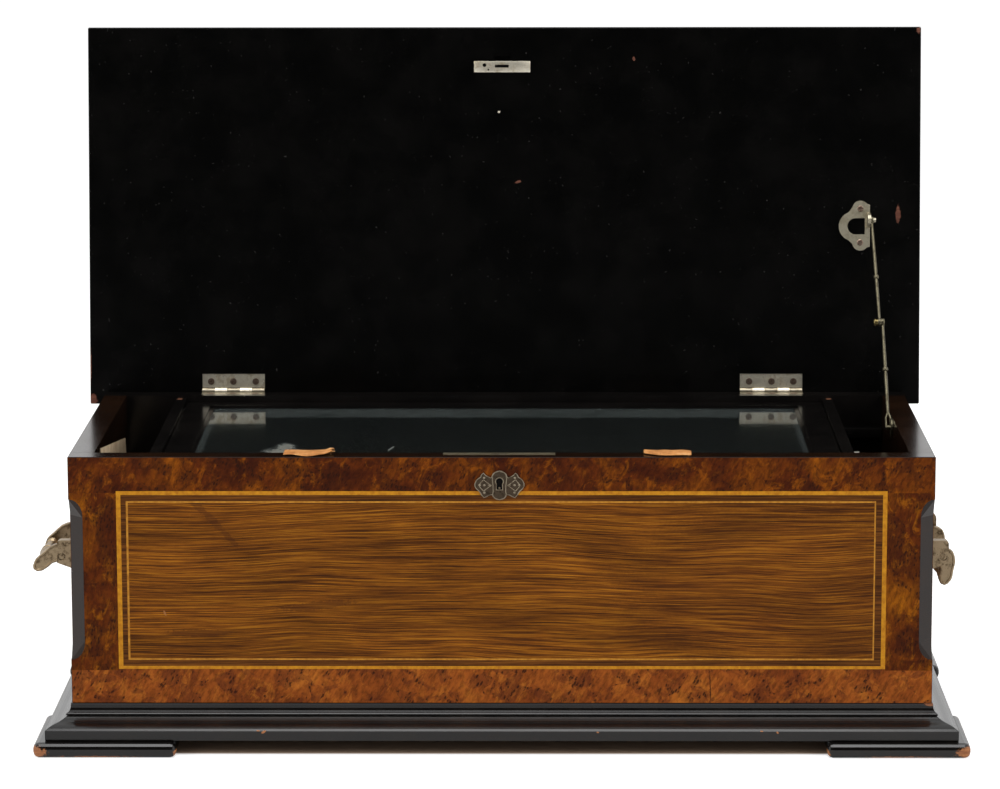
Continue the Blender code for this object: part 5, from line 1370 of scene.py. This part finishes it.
def leatherHeight(look, y):
    # from the glass frame up to a crest beside the rim, and flat over it
    if y < look["crestY"]:
        return look["crest"]
    share = (y - look["crestY"]) / (look["backY"] - look["crestY"])
    return look["crest"] + (look["back"] - look["crest"]) * (0.5 - 0.5 * math.cos(math.pi * min(1.0, share)))


def leatherStrip(name, node, look, side, shape):
    left, right = look[side]
    deselect()
    bpy.ops.mesh.primitive_grid_add(x_subdivisions=34, y_subdivisions=26, size=1, location=(0, 0, 0))
    obj = takeNew(name)
    for vertex in obj.data.vertices:
        across = vertex.co.x + 0.5
        along = vertex.co.y + 0.5
        x = left + (right - left) * across
        y = look["rimY"] + (look["backY"] - look["rimY"]) * along
        x, y, lift = shape(across, along, x, y)
        vertex.co = at(x, y, leatherHeight(look, y) + lift)
    modifier = obj.modifiers.new("thick", "SOLIDIFY")
    modifier.thickness = look["thick"] * mm
    modifier.offset = 0
    modifier = obj.modifiers.new("smooth", "SUBSURF")
    modifier.levels = 1
    modifier.render_levels = 1
    applyAll(obj)
    tidyNormals(obj)
    finishPiece(obj, "leather", "glass_lid", 60)
    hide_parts(node)
    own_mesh(obj)


def tornEdge(along):
    # how far a torn end reaches, in millimetres, uneven along its tear
    return 1.5 * math.sin(along * 21) + 0.8 * math.sin(along * 47 + 1.3)


def liftedStrip(across, along, x, y):
    # its front edge waves, and its right end is torn and curls up
    x += tornEdge(along) * across ** 8
    y += (1 - along) * (1.6 * math.sin(across * 9 + 0.4) + 2.2 * across ** 3 - 1.0)
    curl = max(0.0, across - 0.78) / 0.22
    lift = (1 - along) * 0.35 * (1 + math.sin(across * 8.5 + 0.6))
    return x - curl * curl * 2.0, y, lift + curl ** 1.6 * 2.6 * (0.35 + 0.65 * (1 - along))


def rolledStrip(across, along, x, y):
    # its front edge is rolled under and tapers to the left, and its right end is frayed
    x += tornEdge(along) * 0.9 * across ** 6
    y += (1 - along) * (1.2 * math.sin(across * 7 + 2.0) + (1 - across) ** 3 * 7)
    roll = math.sin(max(0.0, 0.35 - along) / 0.35 * math.pi)
    return x, y + roll * 1.2, roll * 1.1 + 0.25 * (1 + math.sin(across * 17)) * along


leatherStrip("pullLeft", "pull_tab_left", leather, "left", liftedStrip)
leatherStrip("pullRight", "pull_tab_right", leather, "right", rolledStrip)
print("leather pulls made")

# blank paper on the left end's inner face, and a batten across the back of the right compartment
compartments = {
    "paper": [
        (-287.9, -74.1, 207.2), (-287.9, 96.2, 182.7), (-287.9, 101.6, 165), (-287.9, 10, 167),
        (-287.9, -74.6, 172),
    ],
    "paperThick": 0.25,
    "batten": ((250.4, 107.5, 180.5), (287.6, 114.6, 187.7)),
    "battenEdge": 0.6,
}
slip = plate("paperSlip", compartments["paper"], (compartments["paperThick"], 0, 0))
finishPiece(slip, "paper", "case")
batten = slab("battenRight", *compartments["batten"], compartments["battenEdge"])
finishPiece(batten, "inside", "case")


# the movement: pins on the cylinder, screws on the comb and bed
def cylinderPins(look):
    # the tune's pins in rings round the cylinder, close along it, a small spike each
    pick = random.Random(look["seed"])
    made = bmesh.new()
    axis = at(0, look["y"], look["z"])
    for k in range(look["count"]):
        x = look["low"] + (look["high"] - look["low"]) * (k + pick.random()) / look["count"]
        turn = math.radians(pick.uniform(look["clear"], 360 - look["clear"]))
        out = (look["radius"] + look["tall"] / 2) * mm
        stand = Matrix.Rotation(turn, 4, "X") @ Matrix.Translation((0, 0, out))
        place = Matrix.Translation(Vector((middle.x + x * mm, axis.y, axis.z))) @ stand
        bmesh.ops.create_cone(
            made, cap_ends=True, segments=4, radius1=look["thick"] * mm, radius2=look["thick"] * 0.6 * mm,
            depth=look["tall"] * mm, matrix=place
        )
    mesh = bpy.data.meshes.new("cylinderPins")
    made.to_mesh(mesh)
    made.free()
    return finishPiece(addObject("cylinderPins", mesh), "steel", "cylinder_body")


movement = {
    "pins": {"seed": 11, "y": 5, "z": 110, "radius": 27, "tall": 0.9, "thick": 0.22, "low": -147, "high": 161,
             "count": 1500, "clear": 20},
    "comb": [(x, -79, 111.4) for x in range(-135, 160, 41)],
    "bed": [(x, y, 53.9) for x in (-222, 196) for y in (-86, 66)],
}
cylinderPins(movement["pins"])
for kind in ("comb", "bed"):
    driveScrews(kind + "Screws", kind, movement[kind], (0, 0, 1), "steel", "case")
discard(*screwHeads.values())
print("movement dressed")


# camera, light and floor
view = {
    "place": (26.734, -2916.624, 750.939),
    "turn": 0.5644,
    "down": 10.0631,
    "roll": -0.1056,
    "lens": 145.369,
    "sensor": 36,
    "far": 50,
}
cameraData = bpy.data.cameras.new("camera")
cameraData.lens = view["lens"]
cameraData.sensor_width = view["sensor"]
cameraData.clip_end = view["far"]
camera = addObject("camera", cameraData)
turnZ = Matrix.Rotation(math.radians(view["turn"]), 4, "Z")
tilt = Matrix.Rotation(math.radians(90 - view["down"]), 4, "X")
rollZ = Matrix.Rotation(math.radians(view["roll"]), 4, "Z")
camera.matrix_world = Matrix.Translation(at(*view["place"])) @ turnZ @ tilt @ rollZ
bpy.context.scene.camera = camera
bpy.context.scene.view_settings.view_transform = "Standard"

light = {
    "lamps": (
        # name, place, size, watts
        ("lampTop", (0, -500, 2600), 1600, 26),
        ("lampLeft", (-2300, -1500, 1500), 1200, 24),
        ("lampRight", (2300, -1500, 1500), 1200, 22),
    ),
    "world": 0.55,
    "room": 0.004,
    "roomAt": (0, -1, 0.12),
    "roomEdge": (0.72, 0.86),
    "floor": 0.80,
    "glow": 0.62,
    # painted shadow under the case: a darker brown floor colour there, also standing in for the wood's
    # reflection
    "under": (0.62, 0.44, 0.31),
    "shadeFrom": (-146, -140),
    "shadeTo": (132, 126),
    "shadeSides": (300, 290),
    "aimHeight": 150,
}
for name, place, size, watts in light["lamps"]:
    lampData = bpy.data.lights.new(name, "AREA")
    lampData.shape = "DISK"
    lampData.size = size * mm
    lampData.energy = watts
    lamp = addObject(name, lampData)
    lamp.location = at(*place)
    lamp.rotation_mode = "QUATERNION"
    lamp.rotation_quaternion = (at(0, 0, light["aimHeight"]) - lamp.location).to_track_quat("-Z", "Y")


def studioWorld(look):
    # white behind the object, plain grey light from round it, and a dark room where the lid looks back
    world = bpy.data.worlds.new("studio")
    bpy.context.scene.world = world
    world.use_nodes = True
    tree = world.node_tree
    facing = {0: addNode(tree, "TexCoord", {}, "Generated"), 1: Vector(look["roomAt"]).normalized()}
    facing = addNode(tree, "VectorMath", facing, "Value", operation="DOT_PRODUCT")
    room = mask(tree, facing, *look["roomEdge"])
    camera, glossy, through = (
        addNode(tree, "LightPath", {}, "Is " + ray + " Ray") for ray in ("Camera", "Glossy", "Transmission")
    )
    seen = sums(tree, "MAXIMUM", sums(tree, "MAXIMUM", camera, glossy), through)
    strength = mixed(tree, seen, grey(look["world"]), grey(1.0))
    strength = mixed(tree, times(tree, room, glossy), strength, grey(look["room"]))
    plug(tree, strength, tree.nodes["Background"].inputs["Color"])


studioWorld(light)


def paleFloor(look):
    # keeps the object's shadow, and glows white to the camera, except for a painted shadow in a patch under
    # the case, where the glow is masked off and the colour darkened
    made, tree, shader = newMaterial("paleFloor")
    speckle = noise(tree, placed(tree), 0.02, 2)
    tone = ramp(tree, speckle, [(0.3, grey(look["floor"] * 0.99)), (0.7, grey(look["floor"]))])
    across = mask(tree, sums(tree, "ABSOLUTE", alongAxis(tree, "X"), 0), *look["shadeSides"])
    behind = mask(tree, alongAxis(tree, "Y"), *look["shadeFrom"])
    before = mask(tree, alongAxis(tree, "Y"), *look["shadeTo"])
    shade = times(tree, across, times(tree, behind, before))
    # painted shadow and painted reflection: the floor under the case is darkened and tinted with the wood's
    # brown
    dress(tree, shader, mixed(tree, shade, tone, look["under"]), 0.9, specular=0.0)
    seen = times(tree, addNode(tree, "LightPath", {}, "Is Camera Ray"), rest(tree, shade))
    glow = addNode(tree, "Emission", {"Strength": times(tree, seen, look["glow"])}, 0)
    both = addNode(tree, "AddShader", {0: shader.outputs[0], 1: glow}, 0)
    plug(tree, both, tree.nodes["Material Output"].inputs["Surface"])
    return made


deselect()
bpy.ops.mesh.primitive_plane_add(size=14, location=middle)
floor = takeNew("floor")
settle(floor)
floor.data.materials.append(paleFloor(light))
print("camera, light and floor set")
